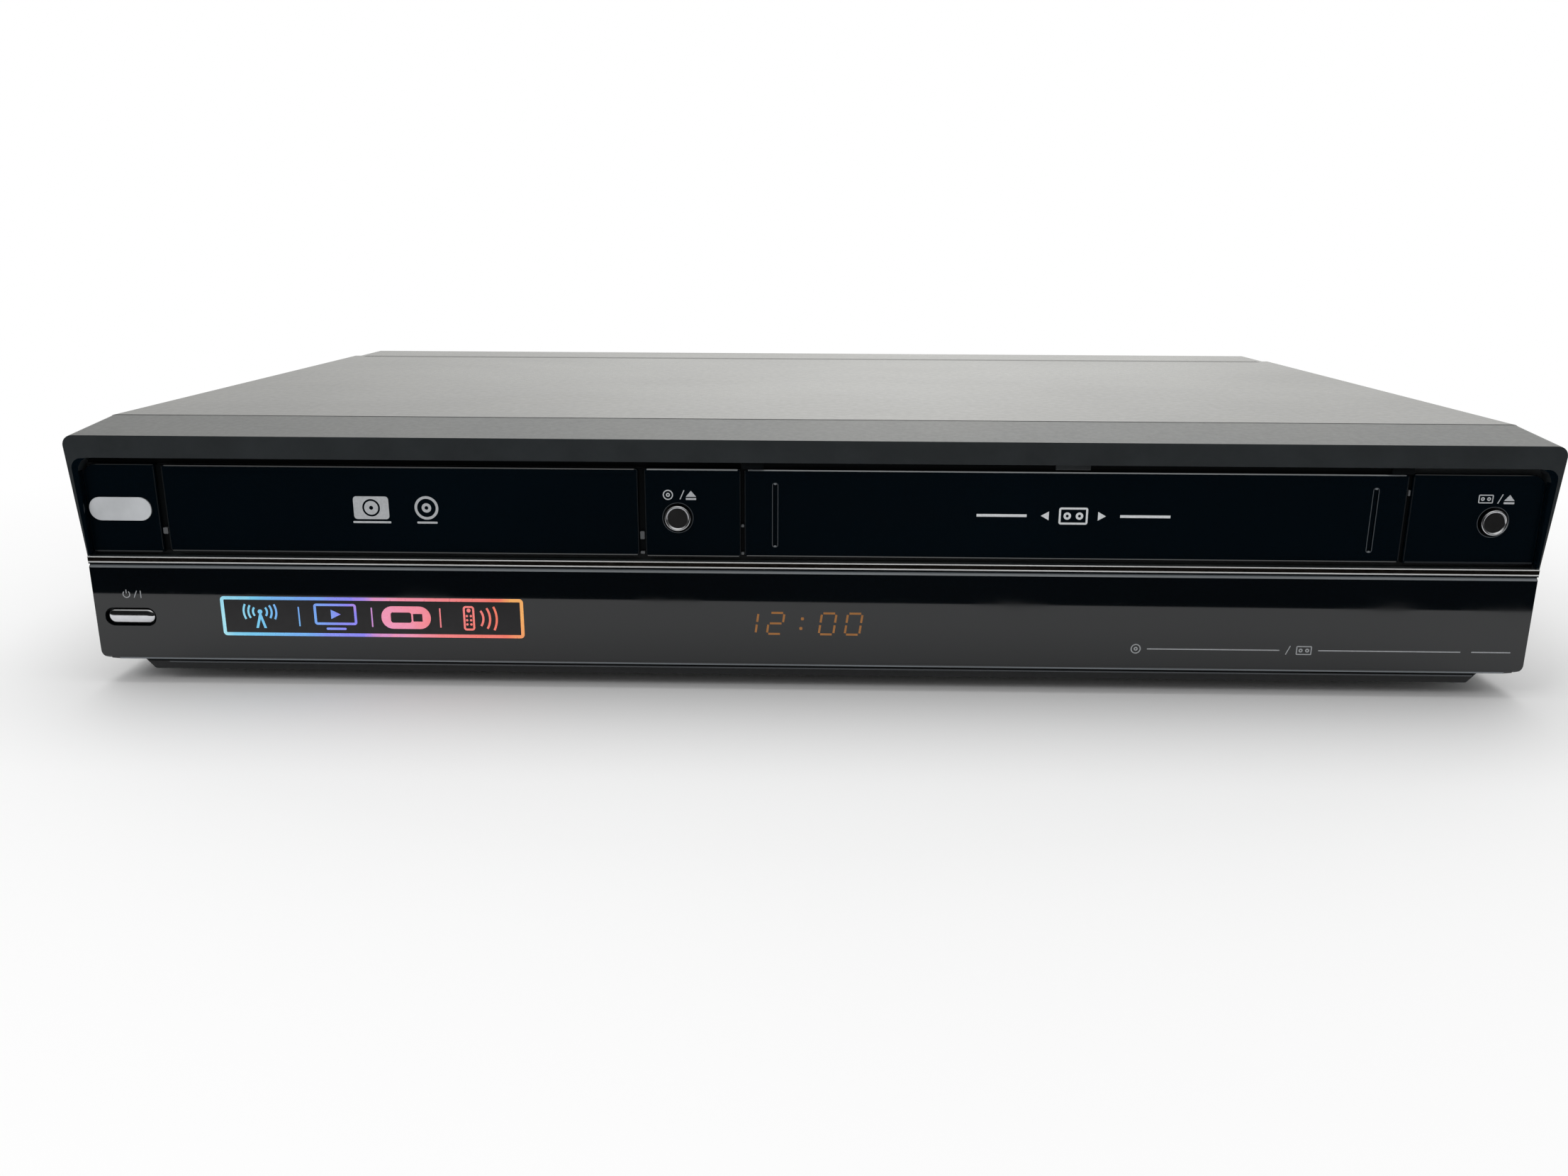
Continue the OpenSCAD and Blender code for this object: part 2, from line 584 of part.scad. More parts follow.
// ---------------------------------------------------------------- disc drive
module drive_base() {
    color([0.13, 0.13, 0.14]) difference() {
        union() {
            box(span(disc_x, 72), [-127, 55], [24, 26]);
            for (s = [-1, 1]) {
                ledge = beside(s, disc_x, [65.8, 70]);
                box(beside(s, disc_x, [rail_half + 0.3, 72]), [-127, 55], [26 - e, 62]);
                box(ledge, [-125, 54], [47.5, tray_z - 0.05]);
                box(ledge, [-125, 54], [52.3, 54]);
                box(beside(s, disc_x, [36, 40]), span(traverse_pivot[0], 4),
                    [26 - e, traverse_pivot[1] + 3.5]);
            }
            box(span(disc_x, 72), [-127, -125], [26 - e, 43]);
            box(span(disc_x, 72), [53, 55], [26 - e, 62]);
            rod_z(3, gear_at[0], gear_at[1], [26 - e, 39]);
            rod_z(1.5, gear_at[0], gear_at[1], [39 - e, 49]);
            box([disc_x - 14, disc_x + 42], [-99.4, -98.2], [26 - e, 31]);
            box([disc_x - 14, disc_x + 42], [-95, -93.4], [26 - e, 27.4]);
        }
        box(span(disc_x, 35.5), [-92, 46], [23, 27]);
        for (x = [disc_x - 41, disc_x + 35])
            rod_x(1.56, [x, x + 6], traverse_pivot[0], traverse_pivot[1]);
        for (s = [-1, 1], y = [-108, 46]) rod_z(1.6, disc_x + s * 60, y, [23, 27]);
    }
}
module drive_bridge() {
    color("silver") difference() {
        union() {
            box(span(disc_x, 72), [-92, -40], [62, 63]);
            box(span(disc_x, 24), [-96, -36], [62, 63]);
        }
        rod_z(14, disc_x, spindle_y, [61, 64]);
        for (s = [-1, 1], y = [-84, -48]) rod_z(5, disc_x + s * 46, y, [61, 64]);
    }
}
module disc_clamp() {
    color([0.16, 0.16, 0.16]) difference() {
        union() {
            rod_z(12.8, disc_x, spindle_y, [57.8, 63.05]);
            rod_z(16.5, disc_x, spindle_y, [63.05, 64.8]);
        }
        rod_z(9, disc_x, spindle_y, [63.6, 66]);
        for (a = [0:2]) translate([disc_x, spindle_y, 0]) rotate([0, 0, a * 120])
            rod_z(1.4, 13.4, 0, [63.5, 66]);
    }
}
module loading_motor() {
    color("silver") {
        rod_z(11, motor_at[0], motor_at[1], [26, 37.6]);
        rod_z(3, motor_at[0], motor_at[1], [37.6 - e, 38.6]);
        rod_z(0.95, motor_at[0], motor_at[1], [38.6 - e, 43.4]);
    }
}
module motor_pinion() {
    color("ivory") translate([motor_at[0], motor_at[1], 0]) difference() {
        slab_z([39.2, 43]) rotate(180 / motor_teeth) gear(motor_teeth, wheel_m, 0.12);
        rod_z(1, 0, 0, [38, 44]);
    }
}
module loading_gear() {
    color("ivory") translate([gear_at[0], gear_at[1], 0]) difference() {
        union() {
            slab_z([39.6, 42.6]) gear(wheel_teeth, wheel_m, 0.12);
            rod_z(6, 0, 0, [42.6 - e, 46.4]);
            slab_z([46.4 - e, 49.6]) gear(rack_pinion_teeth, rack_m, 0.12);
        }
        rod_z(1.56, 0, 0, [39, 50]);
        for (a = [0:4]) rotate([0, 0, a * 72]) rod_z(2, 9.4, 0, [39, 43]);
    }
}
module dvd_tray() {
    color([0.12, 0.12, 0.13]) difference() {
        union() {
            box(span(disc_x, tray_half), [tray_front, 8], [tray_z, tray_top]);
            box(span(disc_x, tray_half), [y_front + 4.2, tray_front + e], [44.5, 63]);
            for (s = [-1, 1]) box(beside(s, disc_x, [55, rail_half]), [tray_front, 30], [tray_z, tray_z + 2]);
            slab_z([46.4, tray_z + e]) rack(disc_x - 55, [-118, 28], gear_at[1], rack_m, 5);
        }
        rod_z(disc_seat_d / 2, disc_x, spindle_y, [53.6, 60]);
        rod_z(41, disc_x, spindle_y, [52.6, 60]);
        rod_z(20, disc_x, spindle_y, [tray_z - 1, 60]);
        box(span(disc_x, 20), [spindle_y, 9], [tray_z - 1, 60]);
        for (s = [-1, 1]) rod_z(13, disc_x + s * 62, spindle_y, [52.6, 60]);
        for (s = [-1, 1]) rod_z(4, disc_x + s * 47, -117, [tray_z - 1, 60]);
    }
}
module dvd_door() {
    color([0.02, 0.03, 0.05]) {
        slab_y([face_y, face_y + door_t]) round_rect(disc_door_x, door_z, 0.8);
    }
}
module cam_slider() {
    x = cam_pin[0];
    z = cam_pin[1];
    color("ivory") difference() {
        box([x - 26, x + 8], [-98.1, -95.1], [26.05, z + 4]);
        slab_y([-99, -94]) polygon([[x - 1.3, z + 1.3], [x + 1.3, z + 1.3], [x + 1.3, z - 0.7],
            [x - cam_travel + 1.3, z - cam_fall - 1.3], [x - cam_travel - 1.3, z - cam_fall - 1.3],
            [x - cam_travel - 1.3, z - cam_fall + 0.7]]);
    }
}
module traverse_frame() {
    color([0.2, 0.2, 0.21]) {
        difference() {
            box(span(disc_x, 34), [-91.4, 44], [38, 41]);
            box(span(disc_x, 25), [-50, 22], [37, 42]);
            rod_z(13.2, disc_x, spindle_y, [37, 42]);
        }
        for (s = [-1, 1]) box(beside(s, disc_x, [31, 34]), [-91.4, 44], [41 - e, 44]);
        for (s = [-1, 1], y = [[-51.5, -46], [22, 26]])
            box([disc_x + s * 22 - 3.5, disc_x + s * 22 + 3.5], y, [40, 47]);
        for (s = [-1, 1]) rod_x(1.5, beside(s, disc_x, [33.9, 39.6]), traverse_pivot[0], traverse_pivot[1]);
        rod_y(1.2, cam_pin[0], [-98, -91.3], cam_pin[1]);
    }
}
module sled_rails() {
    color("silver") for (s = [-1, 1]) rod_y(1.5, disc_x + s * 22, [-46, 22], 44.5);
}
module spindle_motor() {
    color("silver") {
        rod_z(13, disc_x, spindle_y, [34, 46]);
        rod_z(14.6, disc_x, spindle_y, [41, 41.8]);
        rod_z(1, disc_x, spindle_y, [46 - e, 52.5]);
    }
}
module disc_turntable() {
    color([0.1, 0.1, 0.1]) difference() {
        union() {
            rod_z(12, disc_x, spindle_y, [46.6, 50]);
            rod_z(13.5, disc_x, spindle_y, [50 - e, 55]);
            rod_z(7.4, disc_x, spindle_y, [55 - e, 56.4]);
            translate([disc_x, spindle_y, 56.4 - e]) cylinder(r1 = 7.4, r2 = 6.2, h = 1.2);
        }
        rod_z(1.06, disc_x, spindle_y, [46, 53]);
    }
}
module pickup_sled() {
    color([0.25, 0.25, 0.27]) difference() {
        union() {
            box(span(disc_x, 25), [lens_y - 3.8, lens_y + 20], [42, 47.4]);
            box(span(disc_x, 17.5), [lens_y - 7, lens_y + 26], [42, 49.5]);
            rod_z(6.5, disc_x, lens_y, [49.5 - e, 52.2]);
        }
        for (s = [-1, 1]) rod_y(1.56, disc_x + s * 22, [-52, 24], 44.5);
        rod_z(3.2, disc_x, lens_y, [51, 53]);
    }
}

// ---------------------------------------------------------------- tape deck
module vcr_door() {
    x = tape_door_x;
    color([0.02, 0.03, 0.05]) {
        difference() {
            slab_y([face_y, face_y + door_t]) round_rect(x, door_z, 0.8);
            for (p = [x[0] + 8, x[1] - 9.8])
                slab_y([face_y - 1, face_y + 0.5]) round_rect([p, p + 1.8], [43.7, 62.9], 0.8);
        }
        for (s = [-1, 1]) {
            half = (x[1] - x[0]) / 2;
            ear = beside(s, tape_x, [half - 4.3, half - 2.3]);
            rod_x(1, ear, hinge[0], hinge[1]);
            box(ear, [hinge[0] - 0.6, face_y + door_t], [door_z[1] - 1, hinge[1]]);
            rod_x(hinge_r, beside(s, tape_x, [half - 2.4, half - 0.3]), hinge[0], hinge[1]);
        }
    }
}
// The slot that a loading post follows round the head drum
module loading_slot(s) {
    steps = 24;
    play = 3;
    angles = [for (i = [0:steps]) loading_from - play + i * (loading_swing + 2 * play) / steps];
    slab_z([deck_z - 1, deck_top + 1]) translate(drum_at) polygon(concat(
        [for (a = angles) (loading_r + slot_half) * [s * sin(a), -cos(a)]],
        [for (i = [steps:-1:0]) (loading_r - slot_half) * [s * sin(angles[i]), -cos(angles[i])]]));
}
module deck_plate() {
    color("silver") {
        difference() {
            box(span(tape_x, 105), [-108, 86], [deck_z, deck_top]);
            rod_z(2.9, capstan_at[0], capstan_at[1], [19, 23]);
            for (s = [-1, 1]) box(span(tape_x + s * 74, 14), [-70, -20], [19, 23]);
            for (s = [-1, 1]) rod_z(2.06, tape_x + s * reel_gap, reel_y, [19, 23]);
            for (s = [-1, 1]) loading_slot(s);
        }
        rod_z(1.5, pinch_pivot[0], pinch_pivot[1], [deck_top - e, 32]);
    }
}
module carriage_guides() {
    color("silver") for (s = [-1, 1]) {
        side = beside(s, tape_x, guide_x);
        foot = beside(s, tape_x, [guide_x[0], 105]);
        difference() {
            box(side, [-101, 16], [deck_top, 66]);
            box([side[0] - 1, side[1] + 1], [-96.6, -65.4 + carriage_travel], [50.45, 53.55]);
            box([side[0] - 1, side[1] + 1], [-80, -6], [28, 42]);
        }
        box(foot, [-101, 16], [deck_top, deck_top + 1.2]);
    }
}
module carriage_arms() {
    color("gainsboro") {
        for (s = [-1, 1]) {
            arm = beside(s, tape_x, arm_x);
            pin = beside(s, tape_x, [arm_x[1] - e, guide_x[1] + 0.6]);
            difference() {
                box(arm, [-100, -62], [36, 71.4]);
                for (y = [-90, -72])
                    box([arm[0] - 1, arm[1] + 1], span(y, 1.55), [60 - basket_drop - 1.55, 61.55]);
            }
            for (y = [-95, -67]) rod_x(1.5, pin, y, 52);
        }
        box([tape_x - arm_x[1], tape_x + arm_x[1]], [-100, -90], [70.2, 71.4]);
    }
}
module cassette_basket() {
    color("silver") {
        difference() {
            box(span(tape_x, basket_x), basket_y, [40.2, 68.2]);
            box(span(tape_x, basket_x - 1.6), [basket_y[0] - 1, basket_y[1] + 1], [41.4, 67]);
            box(span(tape_x, 84), [basket_y[0] - 1, basket_y[1] + 1], [40, 42]);
            for (s = [-1, 1]) box(span(tape_x + s * 45, 22), [-94, -70], [66, 69]);
        }
        for (s = [-1, 1]) {
            box(span(tape_x + s * 87, 7), [basket_y[1] - 1.2, basket_y[1]], [41.4 - e, 50]);
            for (y = [-90, -72]) rod_x(1.5, beside(s, tape_x, [basket_x - e, arm_x[1]]), y, 60);
        }
    }
}
module on_drum() { translate([drum_at[0], drum_at[1], drum_z]) rotate([drum_tilt, 0, 0]) children(); }
module lower_drum() {
    color("lightgray") {
        on_drum() difference() {
            union() {
                cylinder(r = drum_r, h = 14);
                translate([0, 0, 13.9]) cylinder(r = 8, h = 1);
            }
            translate([0, 0, 3]) cylinder(r = 3.06, h = 20);
        }
        difference() {
            box(span(drum_at[0], 24), [drum_at[1] - 22, drum_at[1] + 24], [deck_top, 30]);
            on_drum() cylinder(r = drum_r + 5, h = 20);
        }
    }
}
module upper_drum() {
    color("whitesmoke") on_drum() {
        translate([0, 0, 15.2]) cylinder(r = drum_r, h = 15);
        translate([0, 0, 4]) cylinder(r = 3, h = 12);
        translate([0, 0, 30.1]) cylinder(r = 17, h = 3.5);
    }
}
module tape_heads() {
    color("dimgray") {
        box([drum_at[0] - 56, drum_at[0] - 48], [22, 31], [deck_top, 46]);
        box([drum_at[0] + 48, drum_at[0] + 55], [44, 54], [deck_top, 44]);
    }
}
module guide_posts() {
    color("silver") for (p = [[-66, 20], [52, 36]]) {
        rod_z(4, drum_at[0] + p[0], p[1], [deck_top, 26]);
        rod_z(2.5, drum_at[0] + p[0], p[1], [26 - e, 44]);
        rod_z(3.6, drum_at[0] + p[0], p[1], [44 - e, 46.5]);
    }
}
module capstan() {
    color("silver") {
        rod_z(2.8, capstan_at[0], capstan_at[1], [16, 26]);
        rod_z(2, capstan_at[0], capstan_at[1], [26 - e, 52]);
        rod_z(20, capstan_at[0], capstan_at[1], [12, 17]);
    }
}
module pinch_arm() {
    color("gray") difference() {
        union() {
            hull() {
                rod_z(5, pinch_pivot[0], pinch_pivot[1], [28, 31]);
                rod_z(4, pinch_at[0], pinch_at[1], [28, 31]);
            }
            rod_z(5, pinch_pivot[0], pinch_pivot[1], [deck_top + 0.1, 28 + e]);
            rod_z(1.5, pinch_at[0], pinch_at[1], [31 - e, 49]);
        }
        rod_z(1.56, pinch_pivot[0], pinch_pivot[1], [deck_top, 33]);
    }
}
module pinch_roller() {
    color([0.1, 0.1, 0.1]) difference() {
        rod_z(6, pinch_at[0], pinch_at[1], [31.3, 47]);
        rod_z(1.56, pinch_at[0], pinch_at[1], [31, 48]);
    }
}
module reel_table(x) {
    color("ivory") {
        rod_z(13, x, reel_y, [deck_top + 0.2, 26]);
        rod_z(6, x, reel_y, [26 - e, 29]);
        translate([x, reel_y, 29 - e]) cylinder(r1 = 5.4, r2 = 3.6, h = 5);
        for (a = [0:2]) translate([x, reel_y, 0]) rotate([0, 0, a * 120])
            box([3, 7.4], span(0, 0.8), [26 - e, 31]);
        rod_z(2, x, reel_y, [18, deck_top + 0.3]);
    }
}
module reel_table_left() { reel_table(tape_x - reel_gap); }
module reel_table_right() { reel_table(tape_x + reel_gap); }
module loading_post(s) {
    at = [drum_at[0] + s * loading_r * sin(loading_from), drum_at[1] - loading_r * cos(loading_from)];
    color("silver") {
        rod_z(slot_half - 0.1, at[0], at[1], [deck_z - 1, deck_top + 0.1 + e]);
        rod_z(3.4, at[0], at[1], [deck_top + 0.1, 26]);
        rod_z(1.6, at[0], at[1], [26 - e, 46]);
        rod_z(2.6, at[0], at[1], [29, 43]);
    }
}
module loading_post_left() { loading_post(-1); }
module loading_post_right() { loading_post(1); }

bottom_chassis();
rear_panel();
top_cover();
case_screws();
rubber_feet();
front_bezel();
badge_panel();
button_panels();
lower_fascia();
trim_strip();
base_plinth();
power_button();
disc_eject_button();
tape_eject_button();
front_board();
display_module();
tact_switches();
main_board();
board_chips();
power_board();
power_transformer();
power_capacitors();
heat_sink();
scart_sockets();
av_jacks();
hdmi_socket();
aerial_tuner();
mains_inlet();
fan_frame();
fan_rotor();
drive_base();
drive_bridge();
disc_clamp();
loading_motor();
motor_pinion();
loading_gear();
dvd_tray();
dvd_door();
cam_slider();
traverse_frame();
sled_rails();
spindle_motor();
disc_turntable();
pickup_sled();
vcr_door();
deck_plate();
carriage_guides();
carriage_arms();
cassette_basket();
lower_drum();
upper_drum();
tape_heads();
guide_posts();
capstan();
pinch_arm();
pinch_roller();
reel_table_left();
reel_table_right();
loading_post_left();
loading_post_right();
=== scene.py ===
"""The looks of a slim home disc and cassette player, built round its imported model.

Lengths in the tables below are in millimetres; MM turns them into Blender's metres.
The front faces -Y, and Z is up from the table.
"""

import json
import math

import bmesh
import bpy
from mathutils import Matrix, Vector


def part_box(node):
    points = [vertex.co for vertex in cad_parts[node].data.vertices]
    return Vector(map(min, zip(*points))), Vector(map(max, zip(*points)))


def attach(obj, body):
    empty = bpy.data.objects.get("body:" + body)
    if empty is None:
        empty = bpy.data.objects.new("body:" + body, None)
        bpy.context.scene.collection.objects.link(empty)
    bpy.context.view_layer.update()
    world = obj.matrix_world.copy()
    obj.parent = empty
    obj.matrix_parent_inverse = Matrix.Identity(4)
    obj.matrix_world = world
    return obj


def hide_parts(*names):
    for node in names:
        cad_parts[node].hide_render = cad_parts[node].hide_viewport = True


MM = 0.001

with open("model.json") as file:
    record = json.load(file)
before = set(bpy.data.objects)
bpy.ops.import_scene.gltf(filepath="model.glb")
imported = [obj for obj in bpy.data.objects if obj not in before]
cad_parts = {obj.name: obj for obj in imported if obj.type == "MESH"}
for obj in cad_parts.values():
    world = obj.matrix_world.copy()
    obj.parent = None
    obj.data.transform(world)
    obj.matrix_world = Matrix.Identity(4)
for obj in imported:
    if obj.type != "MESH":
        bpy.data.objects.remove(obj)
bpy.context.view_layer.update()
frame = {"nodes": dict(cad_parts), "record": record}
nodes = frame["nodes"]


def new_object(name, data):
    """An object with this data, in the scene."""
    made = bpy.data.objects.new(name, data)
    bpy.context.scene.collection.objects.link(made)
    return made


# ------------------------------------------------------------------ camera

# The photograph's viewpoint: lens and sensor in millimetres, angles in degrees, place in metres
LENS, SENSOR = 28.62, 36
PITCH, YAW, ROLL = 15.402, -1.123, -0.268
VIEWPOINT = (0.000653, -0.489728, 0.129378)
NEAREST = 0.01


def place_camera():
    """Puts the camera where the photograph was taken from."""
    pitch, yaw, roll = (math.radians(a) for a in (PITCH, YAW, ROLL))
    ahead, dip = math.cos(pitch), math.sin(pitch)
    forward = Vector((math.sin(yaw) * ahead, math.cos(yaw) * ahead, -dip))
    level = Vector((math.cos(yaw), -math.sin(yaw), 0))
    drop = forward.cross(level)
    right = level * math.cos(roll) + drop * math.sin(roll)
    down = drop * math.cos(roll) - level * math.sin(roll)
    data = bpy.data.cameras.new("camera")
    data.sensor_width = SENSOR
    data.lens = LENS
    data.clip_start = NEAREST
    camera = new_object("camera", data)
    turn = Matrix((right, -down, -forward)).transposed().to_4x4()
    camera.matrix_world = Matrix.Translation(VIEWPOINT) @ turn
    bpy.context.scene.camera = camera


place_camera()

# --------------------------------------------------------------- materials


def rgb(r, g, b):
    """A colour as a screen shows it, 0 to 255, turned into Blender's linear values."""
    def linear(v):
        v /= 255
        return v / 12.92 if v <= 0.04045 else ((v + 0.055) / 1.055) ** 2.4

    return (linear(r), linear(g), linear(b), 1)


WHITE, WARM_WHITE = (1, 1, 1, 1), (1, 0.998, 0.966, 1)
DUST = rgb(118, 112, 102)
# The sockets of a mix node, by what it mixes: amount, first, second and result
MIX_SOCKETS = {"RGBA": (0, 6, 7, 2), "FLOAT": (0, 2, 3, 0)}


class Tree:
    """A node tree, with short calls for the nodes that the finishes and the room share."""

    def __init__(self, owner):
        owner.use_nodes = True
        self.nodes = owner.node_tree.nodes
        self.links = owner.node_tree.links

    def add(self, kind, inputs=(), **settings):
        """A new node, whose inputs are values or the sockets that they come from."""
        node = self.nodes.new(kind)
        for key, value in settings.items():
            setattr(node, key, value)
        for key, value in dict(inputs).items():
            self.put(node.inputs[key], value)
        return node

    def put(self, socket, value):
        if isinstance(value, bpy.types.NodeSocket):
            self.links.new(value, socket)
        else:
            socket.default_value = value

    def span(self, value, low, high, start=0.3, end=0.7):
        """Low to high as value runs from start to end, which are a noise's usual reach."""
        inputs = {"Value": value, "From Min": start, "From Max": end, "To Min": low, "To Max": high}
        return self.add("ShaderNodeMapRange", inputs, clamp=True).outputs[0]

    def blend(self, amount, first, second, kind="RGBA"):
        """First where the amount is 0 and second where it is 1."""
        node = self.add("ShaderNodeMix", data_type=kind)
        *inputs, result = MIX_SOCKETS[kind]
        for socket, value in zip(inputs, (amount, first, second)):
            self.put(node.inputs[socket], value)
        return node.outputs[result]

    def math(self, operation, first, second):
        return self.add("ShaderNodeMath", {0: first, 1: second}, operation=operation).outputs[0]


class Shader(Tree):
    """A material's node tree, with the textures that the finishes are made of."""

    def __init__(self, name):
        self.material = bpy.data.materials.new(name)
        super().__init__(self.material)
        self.body = self.nodes["Principled BSDF"]
        self.place = self.add("ShaderNodeTexCoord").outputs["Object"]

    def set(self, **inputs):
        """Puts values on the surface's sockets, whose names have _ here for a space."""
        for key, value in inputs.items():
            self.put(self.body.inputs[key.replace("_", " ")], value)

    def stretched(self, stretch):
        return self.add("ShaderNodeMapping", {"Vector": self.place, "Scale": stretch}).outputs[0]

    def noise(self, scale, detail, stretch=None):
        place = self.stretched(stretch) if stretch else self.place
        inputs = {"Vector": place, "Scale": scale, "Detail": detail}
        return self.add("ShaderNodeTexNoise", inputs).outputs["Fac"]

    def cells(self, scale, output="Distance"):
        inputs = {"Vector": self.place, "Scale": scale}
        return self.add("ShaderNodeTexVoronoi", inputs).outputs[output]

    def bump(self, height, depth, strength, below=None):
        """A relief this many metres deep, over the relief below."""
        inputs = {"Height": height, "Distance": depth, "Strength": strength}
        if below is not None:
            inputs["Normal"] = below
        return self.add("ShaderNodeBump", inputs).outputs[0]

    def facing_up(self):
        """1 where the surface faces up, 0 where it faces sideways or down."""
        normal = self.add("ShaderNodeNewGeometry").outputs["Normal"]
        up = self.add("ShaderNodeSeparateXYZ", {"Vector": normal}).outputs["Z"]
        return self.span(up, 0, 1, 0.6, 0.95)

    def dust(self, colour, amount):
        """Colour with a thin settled dust on whatever faces up."""
        patches = self.span(self.noise(22, 5), 0, 1, 0.42, 0.75)
        specks = self.span(self.cells(420), 1, 0, 0.02, 0.07)
        veil = self.math("MULTIPLY", self.math("ADD", patches, specks), amount)
        return self.blend(self.math("MULTIPLY", veil, self.facing_up()), colour, DUST)


def shaded(colour, factor):
    """The colour made darker or lighter by this factor."""
    return tuple(v * factor for v in colour[:3]) + (1,)


def moulded(name, colour, rough=0.5, grain=0.00004, size=2600, dusty=0.0, specular=0.5, skin=0.0):
    """Moulded plastic with a spark-eroded texture; skin is the weight of a satin lacquer on it."""
    s = Shader(name)
    base = s.blend(s.span(s.noise(90, 4), 0, 1), shaded(colour, 0.86), shaded(colour, 1.12))
    if dusty:
        base = s.dust(base, dusty)
    texture = s.noise(size, 2)
    flow = s.noise(35, 2)
    s.set(
        Base_Color=base,
        Roughness=s.span(s.noise(620, 4), rough - 0.05, rough + 0.05),
        Normal=s.bump(texture, grain, 0.6, s.bump(flow, 0.0002, 0.03)),
    )
    s.body.inputs["Specular IOR Level"].default_value = specular
    s.body.inputs["Coat Weight"].default_value = skin
    s.body.inputs["Coat Roughness"].default_value = 0.3
    return s.material


def polished(name, colour, rough=0.04, specular=0.5):
    """High-gloss plastic with faint smears and hairline scratches."""
    s = Shader(name)
    smears = s.span(s.noise(28, 6, (1, 1, 2.2)), 0, 1, 0.52, 0.78)
    hairs = s.span(s.noise(60, 3, (1, 14, 55)), 0, 1, 0.69, 0.74)
    marks = s.math("MAXIMUM", s.math("MULTIPLY", smears, 0.6), s.math("MULTIPLY", hairs, 0.5))
    base = s.blend(s.span(s.noise(14, 3), 0, 1), shaded(colour, 0.9), shaded(colour, 1.15))
    s.set(
        Base_Color=base,
        Roughness=s.span(marks, rough, rough + 0.14, 0, 1),
        Normal=s.bump(s.noise(45, 2), 0.0001, 0.03),
    )
    s.body.inputs["Specular IOR Level"].default_value = specular
    return s.material


def enamel(name, colour, rough):
    """Sheet steel under satin paint: fine orange peel, rubbed patches and settled dust."""
    s = Shader(name)
    peel = s.noise(900, 2)
    sheet = s.noise(9, 2)
    rubbed = s.span(s.noise(9, 6, (1, 1.4, 1)), -0.03, 0.04)
    fine = s.span(s.noise(420, 5), -0.03, 0.03)
    base = s.blend(s.span(s.noise(160, 5), 0, 1), shaded(colour, 0.85), shaded(colour, 1.2))
    s.set(
        Base_Color=s.dust(base, 0.10),
        Roughness=s.math("ADD", s.math("ADD", rubbed, fine), rough),
        Normal=s.bump(peel, 0.00003, 0.5, s.bump(sheet, 0.0004, 0.05)),
    )
    s.body.inputs["Coat Weight"].default_value = 0.7
    s.body.inputs["Coat Roughness"].default_value = 0.24
    return s.material


def metal(name, colour, rough=0.3, brush=(1, 40, 40), depth=0.00001, stain=0.12):
    """Bare or plated metal, brushed along the axis with the smallest number."""
    s = Shader(name)
    lines = s.noise(60, 4, brush)
    stains = s.span(s.noise(30, 6), 0, 1, 0.35, 0.8)
    base = s.blend(lines, shaded(colour, 0.9), shaded(colour, 1.08))
    s.set(
        Base_Color=s.blend(s.math("MULTIPLY", stains, stain), base, shaded(colour, 0.45)),
        Metallic=1.0,
        Roughness=s.math("ADD", s.span(lines, -0.06, 0.06), rough),
        Normal=s.bump(lines, depth, 0.4),
    )
    return s.material


def zinc(name, colour, rough=0.36):
    """Zinc-plated sheet with its crystals."""
    s = Shader(name)
    crystal = s.cells(260, "Color")
    shade = s.add("ShaderNodeSeparateColor", {"Color": crystal}).outputs[0]
    lines = s.noise(90, 4, (1, 30, 30))
    base = s.blend(shade, shaded(colour, 0.92), shaded(colour, 1.05))
    s.set(
        Base_Color=s.blend(s.math("MULTIPLY", lines, 0.3), base, shaded(colour, 0.8)),
        Metallic=1.0,
        Roughness=s.span(shade, rough - 0.05, rough + 0.06, 0, 1),
        Normal=s.bump(s.noise(1200, 2), 0.00001, 0.4),
    )
    return s.material


def mirror_metal(name, colour, rough=0.08):
    """Chrome plate over plastic, with its slight ripple."""
    s = Shader(name)
    wear = s.span(s.noise(300, 5), 0, 0.06)
    s.set(
        Base_Color=s.blend(s.span(s.noise(500, 4), 0, 1), shaded(colour, 0.9), colour),
        Metallic=1.0,
        Roughness=s.math("ADD", wear, rough),
        Normal=s.bump(s.noise(160, 2), 0.00004, 0.12),
    )
    return s.material


def rubbery(name, colour):
    """Matt rubber with a slight bloom."""
    s = Shader(name)
    s.set(
        Base_Color=s.blend(s.span(s.noise(300, 5), 0, 1), shaded(colour, 0.8), shaded(colour, 1.5)),
        Roughness=s.span(s.noise(200, 4), 0.75, 0.92),
        Normal=s.bump(s.noise(1800, 3), 0.00006, 0.5),
    )
    return s.material


def board(name, colour, track):
    """A circuit board: solder mask over copper tracks, and tinned pads."""
    s = Shader(name)
    rows = {
        "Vector": s.place, "Scale": 90, "Brick Width": 0.9, "Row Height": 0.22,
        "Mortar Size": 0.06, "Mortar Smooth": 0.1,
    }
    tracks = s.add("ShaderNodeTexBrick", rows).outputs["Fac"]
    pads = s.span(s.cells(300), 1, 0, 0.16, 0.2)
    base = s.blend(s.noise(60, 4), shaded(colour, 0.8), shaded(colour, 1.15))
    with_tracks = s.blend(s.math("MULTIPLY", tracks, 0.8), base, track)
    s.set(
        Base_Color=s.blend(pads, with_tracks, rgb(190, 186, 172)),
        Metallic=s.math("MULTIPLY", pads, 0.8),
        Roughness=s.span(s.noise(200, 4), 0.28, 0.42),
        Normal=s.bump(s.math("ADD", tracks, pads), 0.00006, 0.7),
    )
    return s.material


